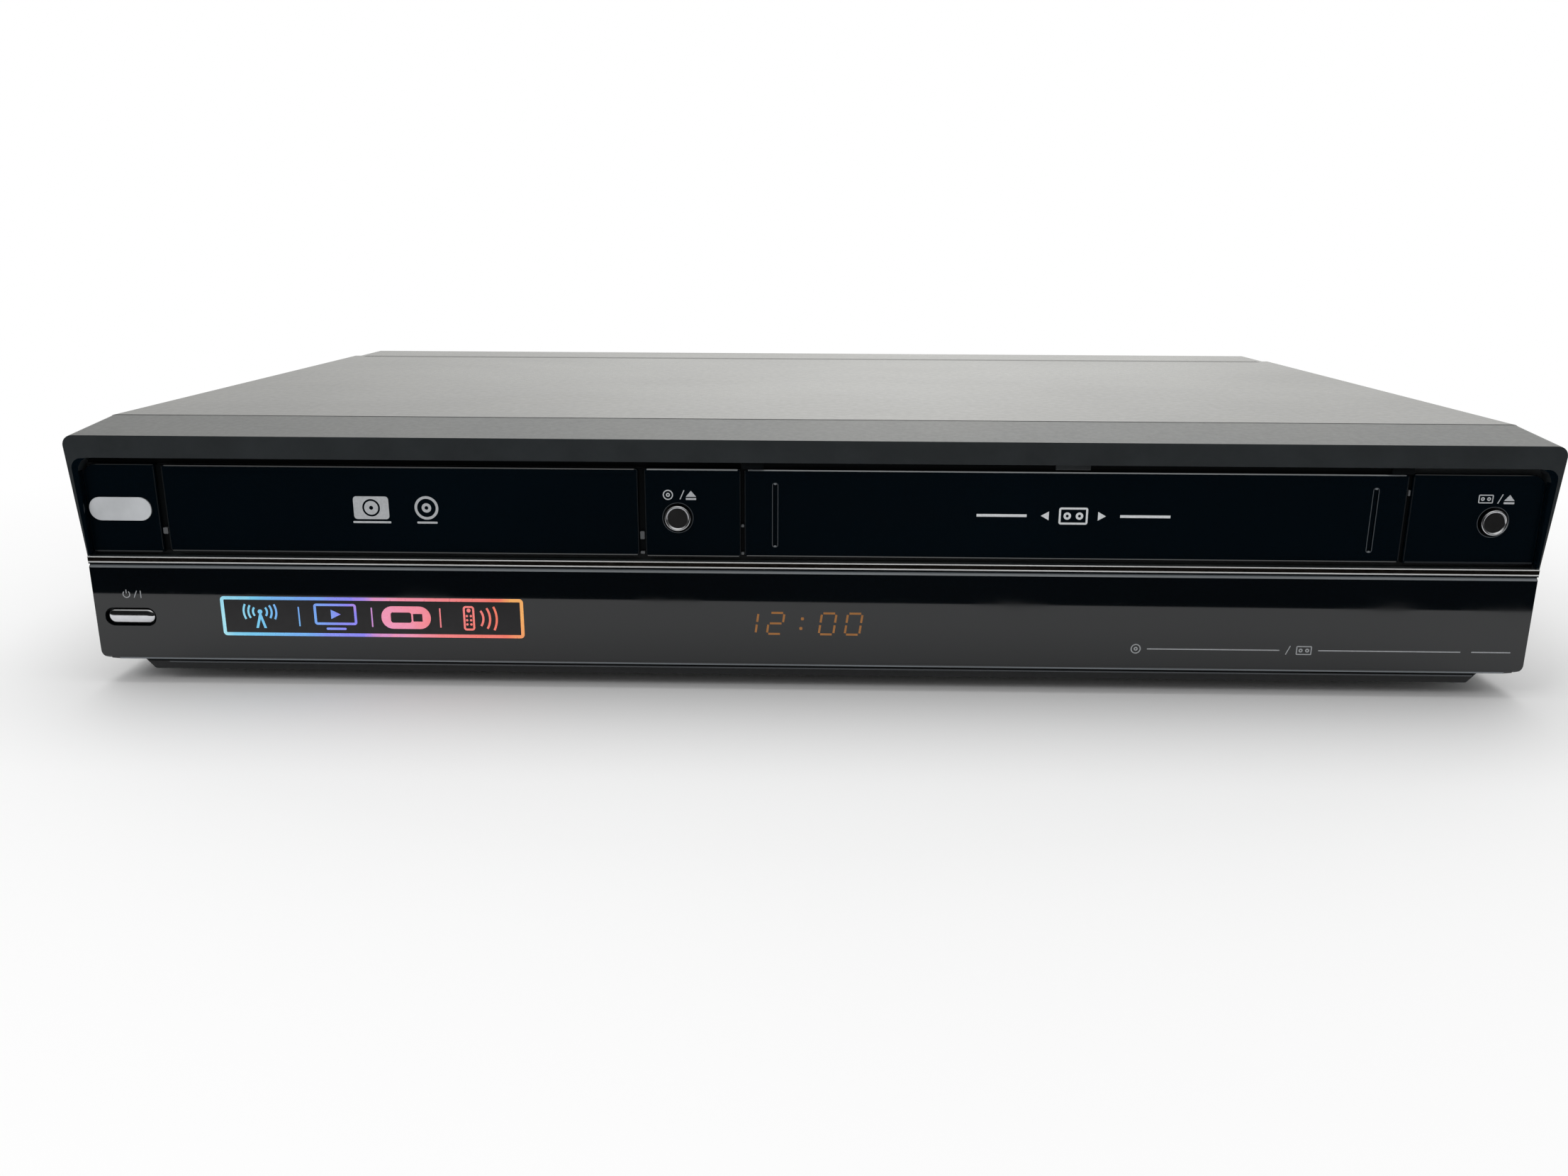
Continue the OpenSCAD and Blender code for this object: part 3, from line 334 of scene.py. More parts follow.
def wound(name, colour):
    """Tape wound round a transformer, with its ferrite showing as darker bands."""
    s = Shader(name)
    layers = s.noise(120, 3, (1, 1, 14))
    s.set(
        Base_Color=s.blend(s.span(layers, 0, 1), shaded(colour, 0.6), shaded(colour, 1.15)),
        Roughness=s.span(s.noise(300, 4), 0.28, 0.46),
        Normal=s.bump(layers, 0.00012, 0.6),
    )
    return s.material


def glowing(name, colour, strength):
    """A lit display segment, slightly uneven."""
    s = Shader(name)
    s.set(
        Base_Color=shaded(colour, 0.4),
        Emission_Color=s.blend(s.span(s.noise(700, 3), 0, 1), shaded(colour, 0.78), colour),
        Roughness=s.span(s.noise(900, 2), 0.3, 0.5),
    )
    s.body.inputs["Emission Strength"].default_value = strength
    return s.material


def printed(name, colour):
    """Screen-printed ink, slightly uneven."""
    s = Shader(name)
    s.set(
        Base_Color=s.blend(s.span(s.noise(1500, 4), 0, 1), shaded(colour, 0.86), shaded(colour, 1.05)),
        Roughness=s.span(s.noise(900, 3), 0.32, 0.46),
        Normal=s.bump(s.noise(2400, 2), 0.00001, 0.4),
    )
    return s.material


def foil(name, x_ends):
    """Iridescent foil whose hue runs from cyan through violet and pink to orange along X, with a faint
    painted glow.
    """
    s = Shader(name)
    x = s.add("ShaderNodeSeparateXYZ", {"Vector": s.place}).outputs["X"]
    along = s.span(x, 0, 1, x_ends[0] * MM, x_ends[1] * MM)
    drift = s.span(s.noise(130, 3), -0.05, 0.05)
    ramp = s.add("ShaderNodeValToRGB", {"Fac": s.math("ADD", along, drift)})
    stops = [
        (0.0, rgb(170, 230, 244)), (0.1, rgb(122, 206, 242)), (0.28, rgb(122, 172, 248)),
        (0.44, rgb(146, 138, 250)), (0.56, rgb(246, 156, 190)), (0.74, rgb(252, 138, 142)),
        (0.92, rgb(250, 124, 104)), (1.0, rgb(252, 180, 104)),
    ]
    points = ramp.color_ramp.elements
    while len(points) < len(stops):
        points.new(0.5)
    for point, (place, colour) in zip(points, stops):
        point.position = place
        point.color = colour
    s.set(
        Base_Color=ramp.outputs["Color"],
        Metallic=0.35,
        Roughness=s.span(s.noise(700, 4), 0.24, 0.42),
        Emission_Color=ramp.outputs["Color"],
        Normal=s.bump(s.noise(1600, 2), 0.00001, 0.4),
    )
    # Painted glow: the foil gives off a faint light in its own colours
    s.body.inputs["Emission Strength"].default_value = 0.28
    return s.material


BLACK_GLOSS = rgb(2, 9, 15)
finishes = {
    "chassis_zinc": zinc("zinc_chassis", rgb(196, 198, 200)),
    "panel_zinc": zinc("zinc_rear_panel", rgb(178, 180, 182)),
    "cover_paint": enamel("cover_enamel", rgb(34, 35, 37), 0.3),
    "screw_steel": metal("blackened_screws", rgb(96, 96, 98), 0.38),
    "foot_rubber": rubbery("foot_rubber", rgb(22, 22, 22)),
    "bezel_plastic": moulded("bezel_plastic", rgb(38, 43, 46), 0.42, dusty=0.12, skin=0.6),
    "panel_gloss": polished("panel_gloss", BLACK_GLOSS),
    "fascia_gloss": polished("fascia_gloss", rgb(4, 8, 12), 0.03, 0.62),
    "trim_chrome": mirror_metal("trim_chrome", rgb(206, 208, 212), 0.12),
    "plinth_plastic": moulded("plinth_plastic", rgb(12, 15, 18), 0.5),
    "button_chrome": mirror_metal("button_chrome", rgb(214, 215, 218)),
    "board_green": board("board_green", rgb(22, 88, 44), rgb(52, 128, 62)),
    "board_brown": board("board_brown", rgb(168, 128, 74), rgb(140, 100, 52)),
    "display_dark": polished("display_window", rgb(8, 10, 12), 0.08),
    "switch_plastic": moulded("switch_plastic", rgb(48, 48, 50)),
    "chip_epoxy": moulded("chip_epoxy", rgb(26, 26, 28), 0.6),
    "transformer_tape": wound("transformer_tape", rgb(214, 182, 62)),
    "capacitor_can": moulded("capacitor_sleeve", rgb(28, 38, 92), 0.3, 0.00001),
    "sink_aluminium": metal("sink_aluminium", rgb(208, 210, 212), 0.4, (30, 30, 1)),
    "socket_plastic": moulded("socket_plastic", rgb(20, 20, 21), 0.45),
    "socket_metal": metal("tinned_socket", rgb(206, 206, 204), 0.28, (30, 1, 30)),
    "drive_plastic": moulded("drive_plastic", rgb(28, 28, 30), 0.48),
    "sheet_steel": zinc("zinc_deck", rgb(196, 198, 202), 0.32),
    "motor_steel": metal("motor_can", rgb(186, 188, 190), 0.3, (30, 30, 1)),
    "gear_nylon": moulded("nylon", rgb(226, 220, 198), 0.42, 0.00001, 1400, specular=0.4),
    "traverse_plastic": moulded("traverse_plastic", rgb(40, 40, 43), 0.5),
    "shaft_steel": metal("ground_steel", rgb(222, 223, 226), 0.16, (30, 30, 1), 0.000004, 0.05),
    "turntable_plastic": moulded("turntable_plastic", rgb(18, 18, 19), 0.45),
    "drum_aluminium": metal("turned_drum", rgb(226, 227, 230), 0.14, (1, 1, 60), 0.000004, 0.04),
    "head_steel": metal("head_steel", rgb(150, 150, 152), 0.3, (30, 30, 1)),
    "roller_rubber": rubbery("roller_rubber", rgb(17, 17, 17)),
}

# --------------------------------------------------- pieces kept from CAD


WELD_GAP = 0.000004
FLAT_ANGLE, EDGE_ANGLE = math.radians(0.5), math.radians(32)
EDGE_STEPS = 2
PIERCED = ("top_cover", "rear_panel", "bottom_chassis")
# Widths of the softened edges, with the plain one for the nodes not named
PLAIN_EDGE = 0.15
EDGE = {
    "top_cover": 0.25, "front_bezel": 0.45, "lower_fascia": 0.3, "base_plinth": 0.4, "vcr_door": 0.3,
    "dvd_door": 0.3, "badge_panel": 0.3, "button_panels": 0.3, "rubber_feet": 0.5, "dvd_tray": 0.4,
    "disc_clamp": 0.4, "scart_sockets": 0.3, "av_jacks": 0.3, "mains_inlet": 0.35, "fan_frame": 0.3,
}


def soften(piece, width):
    """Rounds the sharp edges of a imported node, without touching its mesh.

    The flat faces of a sheet with rows of holes stay divided, as one face can't hold them all.
    """
    weld = piece.modifiers.new("weld", "WELD")
    weld.merge_threshold = WELD_GAP
    if piece.name not in PIERCED:
        flat = piece.modifiers.new("flat", "DECIMATE")
        flat.decimate_type = "DISSOLVE"
        flat.angle_limit = FLAT_ANGLE
    bevel = piece.modifiers.new("bevel", "BEVEL")
    bevel.width = width * MM
    bevel.segments = EDGE_STEPS
    bevel.limit_method = "ANGLE"
    bevel.angle_limit = EDGE_ANGLE
    bevel.use_clamp_overlap = True
    bevel.harden_normals = True
    bevel.miter_outer = "MITER_ARC"
    normals = piece.modifiers.new("normals", "WEIGHTED_NORMAL")
    normals.weight = 100
    normals.keep_sharp = True


def dress_nodes():
    """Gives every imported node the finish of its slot, and soft edges."""
    slot_of = {part["node"]: part["material_slot"] for part in frame["record"]["subparts"]}
    for name, piece in nodes.items():
        piece.data.materials.clear()
        piece.data.materials.append(finishes[slot_of[name]])
        soften(piece, EDGE.get(name, PLAIN_EDGE))


dress_nodes()

# ---------------------------------------------------------- flat artwork

FACE_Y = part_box("badge_panel")[0][1] / MM
FASCIA_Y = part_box("lower_fascia")[0][1] / MM
# Thicknesses of printed ink and of stuck-on film
INK, FILM = 0.04, 0.05
ROUND_STEPS, ARC_STEPS, CORNER_STEPS, ROLL_STEPS = 48, 16, 8, 3


def circle(x, z, r, steps=ROUND_STEPS):
    return arc(x, z, r, 0, 360 - 360 / steps, steps - 1)


def arc(x, z, r, start, end, steps=ARC_STEPS):
    """Points along a round stretch, in degrees anticlockwise from +X."""
    angles = (math.radians(start + (end - start) * i / steps) for i in range(steps + 1))
    return [(x + r * math.cos(a), z + r * math.sin(a)) for a in angles]


def band(x, z, outer, inner, start, end):
    """A stretch of ring between two radii."""
    return arc(x, z, outer, start, end) + arc(x, z, inner, end, start)


def ring(x, z, outer, inner):
    return [circle(x, z, outer), circle(x, z, inner)]


def round_rect(x, z, r):
    """A rectangle with round corners, given by its two ends along X and Z."""
    left, right, low, high = x[0] + r, x[1] - r, z[0] + r, z[1] - r
    turns = ((right, high, 0), (left, high, 90), (left, low, 180), (right, low, 270))
    return [p for cx, cz, start in turns for p in arc(cx, cz, r, start, start + 90, CORNER_STEPS)]


def framed(x, z, r, line):
    """A rounded rectangle drawn as an outline of even width."""
    inside = round_rect((x[0] + line, x[1] - line), (z[0] + line, z[1] - line), max(r - line, 0.05))
    return [round_rect(x, z, r), inside]


def around(mid, half):
    """The two ends of a stretch, from its middle and half its length."""
    return (mid - half, mid + half)


def stroke(start, end, width):
    """A straight line of even width."""
    (x0, z0), (x1, z1) = start, end
    along = Vector((x1 - x0, z1 - z0)).normalized() * width / 2
    dx, dz = -along.y, along.x
    return [(x0 + dx, z0 + dz), (x0 - dx, z0 - dz), (x1 - dx, z1 - dz), (x1 + dx, z1 + dz)]


def disc_sign(x, z, r):
    return ring(x, z, r, r * 0.78) + ring(x, z, r * 0.4, r * 0.16)


def cassette_sign(x, z, width):
    half, tall = width / 2, width * 0.3
    reels = [loop for s in (-1, 1) for loop in ring(x + s * half * 0.42, z, width * 0.13, width * 0.05)]
    return framed(around(x, half), around(z, tall), width * 0.08, width * 0.07) + reels


def eject_sign(x, z, width):
    """A triangle that points up, over a bar."""
    half = width / 2
    low = z - half * 0.9
    bar, foot, tip = low + half * 0.38, low + half * 0.62, low + half * 1.8
    triangle = [(x - half, foot), (x + half, foot), (x, tip)]
    return [triangle, [(x - half, low), (x + half, low), (x + half, bar), (x - half, bar)]]


def play_sign(x, z, size):
    return [[(x - size * 0.45, z - size * 0.5), (x + size * 0.55, z), (x - size * 0.45, z + size * 0.5)]]


def flat_mesh(name, loops, y, depth, edge):
    """A thin solid with these outlines, from the plane y forward, its front rolled by edge."""
    curve = bpy.data.curves.new(name, "CURVE")
    curve.dimensions = "2D"
    curve.fill_mode = "BOTH"
    for loop in loops:
        spline = curve.splines.new("POLY")
        spline.points.add(len(loop) - 1)
        spline.use_cyclic_u = True
        for point, (x, z) in zip(spline.points, loop):
            point.co = (x * MM, z * MM, 0, 1)
    curve.extrude = (depth / 2 - edge) * MM
    curve.bevel_depth = edge * MM
    curve.bevel_resolution = ROLL_STEPS
    curve.offset = -edge * MM
    drawn = bpy.data.objects.new(name, curve)
    mesh = bpy.data.meshes.new_from_object(drawn)
    bpy.data.objects.remove(drawn)
    bpy.data.curves.remove(curve)
    upright = Matrix.Rotation(math.pi / 2, 4, "X")
    mesh.transform(Matrix.Translation((0, (y - depth / 2) * MM, 0)) @ upright)
    mesh.materials.clear()
    return mesh


def add_piece(name, mesh, body, material):
    """A finished piece, which rides a body and has this material."""
    piece = new_object(name, mesh)
    mesh.materials.append(material)
    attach(piece, body)
    return piece


def flat_piece(name, loops, y, depth, body, material, edge=0):
    add_piece(name, flat_mesh(name, loops, y, depth, edge), body, material)


# ------------------------------------------------------------ front marks


def tape_door_marks():
    """A cassette sign between two play signs and two long lines."""
    x, z, line = 77.5, 53.85, 0.8
    loops = cassette_sign(x, z, 8.4)
    for s in (-1, 1):
        loops.append(stroke((x + s * 13.5, z), (x + s * 28, z), line))
        loops.append([(x + s * 8 + s * px, z + pz) for px, pz in ((-0.9, 1.3), (1.4, 0), (-0.9, -1.3))])
    return loops


def disc_door_marks():
    """A solid square with a disc cut out of it, a plain disc sign, and a line under each."""
    square_x, disc_x, z, low = -127.4, -111.1, 54.5, 50.2
    loops = [round_rect(around(square_x, 5.2), around(z, 3.4), 1)]
    loops += ring(square_x, z, 2.6, 2.05) + [circle(square_x, z, 0.6)]
    loops += disc_sign(disc_x, z + 0.1, 3.5)
    for x, half in ((square_x, 5.6), (disc_x, 3)):
        loops.append(round_rect(around(x, half), around(low, 0.3), 0.25))
    return loops


def button_marks(x, z, sign):
    """The kind of disc or tape, a slash and the eject sign over a button."""
    slash = stroke((x + 0.9, z - 1.3), (x + 2.1, z + 1.4), 0.28)
    return sign + [slash] + eject_sign(x + 4.1, z - 0.1, 3)


def disc_button_marks():
    x, z = -37.6, 59.1
    return button_marks(x, z, disc_sign(x - 2.6, z, 1.5))


def tape_button_marks():
    x, z = 197.6, 59.9
    return button_marks(x, z, cassette_sign(x - 2.6, z, 4.2))


def power_marks():
    """The standby sign, a slash and the on sign."""
    x, z, line = -202.4, 28, 0.28
    standby = [band(x, z, 1.15, 0.87, 130, 410), stroke((x, z + 0.25), (x, z + 1.4), line)]
    slash = stroke((x + 2.2, z - 1.05), (x + 3.2, z + 1.1), 0.25)
    return standby + [slash, stroke((x + 4.3, z - 1.1), (x + 4.3, z + 1.1), line)]


def format_marks():
    """A disc and a long line, a slash, a cassette and two lines along the fascia's lower right."""
    z, line, slash = 14.3, 0.34, 0.28
    loops = disc_sign(98.1, z, 1.5) + [stroke((142.3, z - 1.3), (143.5, z + 1.4), slash)]
    loops += cassette_sign(147.6, z, 4.6)
    for start, end in ((101.4, 140.4), (151.8, 193.4), (196.6, 208)):
        loops.append(stroke((start, z), (end, z), line))
    return loops


# The label's two ends along X and along Z, and its dividers along X
LABEL_X, LABEL_Z, LABEL_CELLS = (-174.4, -83.7), (15.5, 27.7), (-151.1, -129.2, -108.7)


def mast_sign(x, z):
    """A transmitter mast with waves on both sides."""
    foot, top, tip = z - 3.7, z + 0.7, z + 1.4
    legs = [(x - 1.6, foot), (x - 0.35, top), (x + 0.35, top), (x + 1.6, foot), (x + 0.85, foot),
            (x, z - 0.8), (x - 0.85, foot)]
    loops = [legs, circle(x, tip, 0.7)]
    for r, half in ((2.1, 38), (3.5, 34), (4.9, 28)):
        loops += [band(x, tip, r + 0.3, r - 0.3, start - half, start + half) for start in (0, 180)]
    return loops


def screen_sign(x, z):
    """A wide screen on its foot, with a play sign on it."""
    screen = framed(around(x, 6.4), (z - 2.5, z + 4.1), 0.9, 0.75)
    return screen + play_sign(x, z + 0.8, 2.9) + [round_rect(around(x, 3), around(z - 3.7, 0.35), 0.3)]


def stick_sign(x, z):
    """A solid pill with a memory stick cut out of it."""
    pill = round_rect(around(x, 7.4), around(z, 3.5), 3.4)
    stick = round_rect((x - 4.6, x + 1.6), around(z, 1.6), 0.7)
    return [pill, stick, round_rect((x + 2.1, x + 4.9), around(z, 1.2), 0.15)]


def control_sign(x, z):
    """A hand-held remote control and its signal."""
    body = framed((x - 5.6, x - 2.2), around(z, 3.8), 0.9, 0.6)
    dots = [circle(x - 3.9 + dx, z + dz, 0.36) for dx in (-0.6, 0.6) for dz in (-1.9, -0.6, 0.7)]
    dots.append(circle(x - 3.9, z + 2.4, 0.6))
    waves = [band(x - 3.6, z, r + 0.32, r - 0.32, -half, half) for r, half in ((4, 36), (6, 32), (8, 27))]
    return body + dots + waves


def label_art():
    """The label's rim and dividers, with a sign in each of its four fields."""
    loops = framed(LABEL_X, LABEL_Z, 1.2, 1)
    ends = (LABEL_X[0],) + LABEL_CELLS + (LABEL_X[1],)
    z = sum(LABEL_Z) / 2
    for sign, left, right in zip((mast_sign, screen_sign, stick_sign, control_sign), ends, ends[1:]):
        loops += sign((left + right) / 2, z)
    return loops + [stroke((x, z - 3), (x, z + 3), 0.4) for x in LABEL_CELLS]


DIGIT_W, DIGIT_H, DIGIT_LINE, DIGIT_GAP, LEAN = 4.3, 6.5, 0.62, 0.42, 0.14
LIT = {"0": "abcdef", "1": "bc", "2": "abged"}
# The ends of each segment, in halves of the digit's width and height
SEGMENTS = {
    "a": ((-1, 1), (1, 1)), "b": ((1, 1), (1, 0)), "c": ((1, 0), (1, -1)), "d": ((-1, -1), (1, -1)),
    "e": ((-1, 0), (-1, -1)), "f": ((-1, 1), (-1, 0)), "g": ((-1, 0), (1, 0)),
}


def digit(char, x, z):
    """The lit segments of a slanted seven-segment digit."""
    half, tall = DIGIT_W / 2, DIGIT_H / 2
    loops = []
    for segment in LIT[char]:
        ends = [Vector((sx * half + sz * tall * LEAN, sz * tall)) for sx, sz in SEGMENTS[segment]]
        gap = (ends[1] - ends[0]).normalized() * DIGIT_GAP
        start, end = ends[0] + gap, ends[1] - gap
        loops.append(stroke((x + start.x, z + start.y), (x + end.x, z + end.y), DIGIT_LINE))
    return loops


def clock_digits():
    """12:00 across the display's five places."""
    first, pitch, z = -16.4, 7.7, 21
    loops = []
    for place, char in enumerate("12:00"):
        x = first + place * pitch
        if char == ":":
            for s in (-1, 1):
                loops.append(round_rect(around(x + s * 0.22, 0.45), around(z + s * 1.5, 0.45), 0.3))
        else:
            loops += digit(char, x, z)
    return loops


ink = printed("silver_ink", rgb(186, 189, 192))
bright_ink = printed("white_ink", rgb(222, 225, 227))
dull_ink = printed("grey_ink", rgb(162, 165, 168))
badge_silver = moulded("badge_silver", rgb(196, 199, 202), 0.34, 0.000006, 900)
label_film = moulded("label_film", rgb(20, 18, 21), 0.34, 0.000006, 900)
label_foil = foil("label_foil", LABEL_X)
amber = glowing("amber_segments", rgb(196, 130, 62), 0.24)

badge_loop = round_rect((-210.8, -192.4), (50.1, 57.1), 3.4)
flat_piece("badge_plate", [badge_loop], FACE_Y, 0.5, "case", badge_silver, edge=0.16)
for mark, art, on, paint in (
    ("disc_door_marks", disc_door_marks, "tray", ink),
    ("tape_door_marks", tape_door_marks, "vcr_door", bright_ink),
    ("disc_button_marks", disc_button_marks, "case", ink),
    ("tape_button_marks", tape_button_marks, "case", ink),
):
    flat_piece(mark, art(), FACE_Y, INK, on, paint)
for mark, art in (("power_marks", power_marks), ("format_marks", format_marks)):
    flat_piece(mark, art(), FASCIA_Y, INK, "case", dull_ink)
label_loop = round_rect(LABEL_X, LABEL_Z, 1.3)
flat_piece("feature_label", [label_loop], FASCIA_Y, FILM, "case", label_film)
flat_piece("feature_label_art", label_art(), FASCIA_Y - FILM, INK, "case", label_foil)
flat_piece("clock_digits", clock_digits(), FASCIA_Y, INK / 2, "case", amber)

# --------------------------------------------------------- solid pieces

TURN_STEPS, TUBE_STEPS = 64, 48
BOW_STEPS, CROWN_STEPS, PILL_STEPS = 14, 11, 14


def solid(name, points, faces, sharp):
    """A closed mesh of points in millimetres, smooth but for edges of more than sharp degrees."""
    form = bmesh.new()
    verts = [form.verts.new([v * MM for v in point]) for point in points]
    for face in faces:
        form.faces.new([verts[i] for i in face])
    bmesh.ops.recalc_face_normals(form, faces=form.faces)
    for face in form.faces:
        face.smooth = True
    mesh = bpy.data.meshes.new(name)
    form.to_mesh(mesh)
    form.free()
    mesh.set_sharp_from_angle(angle=math.radians(sharp))
    return mesh


def turned(name, profile, at):
    """A solid of revolution about a line along Y, from (radius, y) points from front to back."""
    points, rings = [], []
    for r, y in profile:
        turns = [math.tau * i / TURN_STEPS for i in range(TURN_STEPS)] if r else [0]
        rings.append(range(len(points), len(points) + len(turns)))
        points += [(at[0] + r * math.cos(a), y, at[1] + r * math.sin(a)) for a in turns]
    faces = []
    for first, second in zip(rings, rings[1:]):
        for i in range(TURN_STEPS):
            j = (i + 1) % TURN_STEPS
            quad = [loop[k % len(loop)] for loop, k in ((first, i), (first, j), (second, j), (second, i))]
            faces.append(list(dict.fromkeys(quad)))
    return solid(name, points, faces, 40)


def tube(name, section, at, body, material):
    """A closed ring about a line along Y, from (radius, y) points in order round its section."""
    turns = [math.tau * i / TUBE_STEPS for i in range(TUBE_STEPS)]
    points = [(at[0] + r * math.cos(a), y, at[1] + r * math.sin(a)) for r, y in section for a in turns]
    faces = []
    for k in range(len(section)):
        near, far = k * TUBE_STEPS, (k + 1) % len(section) * TUBE_STEPS
        for i in range(TUBE_STEPS):
            j = (i + 1) % TUBE_STEPS
            faces.append((near + i, near + j, far + j, far + i))
    add_piece(name, solid(name, points, faces, 35), body, material)


def along_x(name, x, section, body, material):
    """A closed piece with the same (y, z) section from one end along X to the other."""
    count = len(section)
    points = [(px, py, pz) for px in x for py, pz in section]
    sides = [(i, (i + 1) % count, count + (i + 1) % count, count + i) for i in range(count)]
    faces = sides + [tuple(range(count)), tuple(range(count, 2 * count))]
    add_piece(name, solid(name, points, faces, 30), body, material)


def corners(y, z):
    """The four corners of a section given by its ends along Y and Z."""
    return [(y[0], z[0]), (y[1], z[0]), (y[1], z[1]), (y[0], z[1])]


def middle(node):
    """The X and Z of a node's middle."""
    low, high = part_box(node)
    return ((low[0] + high[0]) / 2 / MM, (low[2] + high[2]) / 2 / MM)


def bow(mid, r, start, end):
    """A profile's round stretch about mid, in degrees from outward to forward."""
    angles = (math.radians(start + (end - start) * i / BOW_STEPS) for i in range(BOW_STEPS + 1))
    return [(mid[0] + r * math.cos(a), mid[1] - r * math.sin(a)) for a in angles]


# ---------------------------------------------------------------- buttons

STEM_R = 2
BUTTON_CHROME = finishes["button_chrome"]


def eject_cap(name, node):
    """A chromed push button with a rolled rim round a dished face."""
    low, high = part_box(node)
    front, back = low[1] / MM, high[1] / MM
    rim_r, rim_at, outer_r = 0.31, 3.44, 3.75
    skirt = front + 4.7
    dish_r, sunk, hollow = 3, 0.5, 0.06
    dish = [(r, front + sunk - hollow * (r / dish_r) ** 2) for r in (0, 1, 2, 2.97)]
    profile = dish + bow((rim_at, front + rim_r), rim_r, 176, 0)
    profile += [(outer_r, skirt), (STEM_R, skirt), (STEM_R, back), (0, back)]
    piece = add_piece(name, turned(name, profile, middle(node)), node, BUTTON_CHROME)
    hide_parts(node)


def power_cap(name, node):
    """A chromed pill-shaped button with a crowned face, on its round stem."""
    low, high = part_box(node)
    front, back = low[1] / MM, high[1] / MM
    x, z = middle(node)
    half_w, half_h = (high[0] - low[0]) / 2 / MM, (high[2] - low[2]) / 2 / MM
    crown, proud, skirt = 0.75, 0.45, front + 1.4

    def pill(r, y):
        straight = half_w - half_h
        right = arc(x + straight, z, r, -90, 90, PILL_STEPS)
        return [(px, y, pz) for px, pz in right + arc(x - straight, z, r, 90, 270, PILL_STEPS)]

    loops = []
    for step in range(1, CROWN_STEPS + 1):
        t = math.radians(step * 90 / CROWN_STEPS)
        loops.append(pill(half_h * math.sin(t), front - proud + crown * (1 - math.cos(t))))
    loops.append(pill(half_h, skirt))
    count = len(loops[0])
    faces = []
    for first in range(0, count * (len(loops) - 1), count):
        for i in range(count):
            j = (i + 1) % count
            faces.append((first + i, first + j, first + count + j, first + count + i))
    last = count * (len(loops) - 1)
    faces += [range(count), range(last, last + count)]
    mesh = solid(name, [point for loop in loops for point in loop], faces, 40)
    piece = add_piece(name, mesh, node, BUTTON_CHROME)
    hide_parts(node)
    stem_front = skirt - 0.1
    stem = [(0, stem_front), (STEM_R, stem_front), (STEM_R, back), (0, back)]
    stem_mesh = turned(name + "_stem", stem, (x, z))
    add_piece(name + "_stem", stem_mesh, node, finishes["switch_plastic"])


eject_cap("disc_eject_cap", "disc_eject_button")
eject_cap("tape_eject_cap", "tape_eject_button")
power_cap("power_cap", "power_button")

# ------------------------------------------------------- small front parts

DOOR_LOW, DOOR_HIGH = (corner[0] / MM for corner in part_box("vcr_door"))
DOOR_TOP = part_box("dvd_door")[1][2] / MM
HINGE_Y, HINGE_Z, HINGE_R, HINGE_STEPS = -132.6, 68.4, 0.5, 20

# Black for the flap door's hinge, and for the bars and strips of painted shade and shadow
hinge_black_and_painted_shade = moulded("hinge_black_and_painted_shade", rgb(4, 8, 11), 0.5, 0.00001, specular=0.12)
clip_nylon = moulded("clip_nylon", rgb(92, 94, 96), 0.3, 0.00001, 1400)
bezel = finishes["bezel_plastic"]


def door_hinge():
    """The flap door's rod, the web that holds it, and the frame's clip over its middle."""
    rod = circle(HINGE_Y, HINGE_Z, HINGE_R, HINGE_STEPS)
    web = corners(around(HINGE_Y, HINGE_R), (66.5, HINGE_Z))
    clip = round_rect((-134, -133.35), (67.3, 69.1), 0.12)
    span = (DOOR_LOW + 2.8, DOOR_HIGH - 2.8)
    web_span = (DOOR_LOW + 2.4, DOOR_HIGH - 2.4)
    along_x("door_hinge_rod", span, rod, "vcr_door", hinge_black_and_painted_shade)
    along_x("door_hinge_web", web_span, web, "vcr_door", hinge_black_and_painted_shade)
    along_x("door_hinge_clip", (71.6, 81.6), clip, "case", bezel)


def gap_clips():
    """Pale clips that show in the gaps, each given by its middle and its half width and height."""
    clips = (
        (-189.25, 47, 0.7, 0.95), (-47.95, 46.9, 0.65, 1.15), (-47.95, 41.7, 0.65, 0.4),
        (-18.5, 50, 0.45, 0.4), (-18.5, 41.7, 0.45, 0.4), (173.15, 61.4, 0.3, 0.85),
    )
    loops = [round_rect(around(x, half_w), around(z, half_h), 0.25) for x, z, half_w, half_h in clips]
    flat_piece("gap_clips", loops, -131.6, 2.2, "case", clip_nylon, edge=0.1)


def black_bars(name, spans, section):
    """Black bars of one section, numbered from the left, painting shade into the shadowed gaps."""
    for place, x in enumerate(spans):
        along_x("%s_%d" % (name, place + 1), x, section, "case", hinge_black_and_painted_shade)


door_hinge()
gap_clips()
# Painted shade: black bars behind the gaps between the panels, under the hood's roof, and round the ends of
# the door's hinge
gaps = ((-190.25, -188.3), (-48.8, -47.05), (-19.05, -18), (172.6, 173.75))
black_bars("gap_painted_shade", gaps, corners((-132.9, -132.5), (41, 66.6)))
roof_painted_shade = corners((-132.2, -131.6), (66.95, 68.95))
along_x("upper_painted_shade", (-210.5, -19), roof_painted_shade, "case", hinge_black_and_painted_shade)
black_bars("hinge_painted_shade", ((-18.6, -12.4), (167, 173.2)), corners((-135, -134.6), (67, 69.2)))


def edge_lip(name, x, top, height, body, material):
    """A fine raised lip across a panel, leaning back so that it catches the light; its lighter material
    paints the highlight.
    """
    low = top - height
    section = [(FACE_Y, low - 0.1), (FACE_Y - 0.15, low), (FACE_Y - 0.01, top), (FACE_Y, top)]
    along_x(name, x, section, body, material)
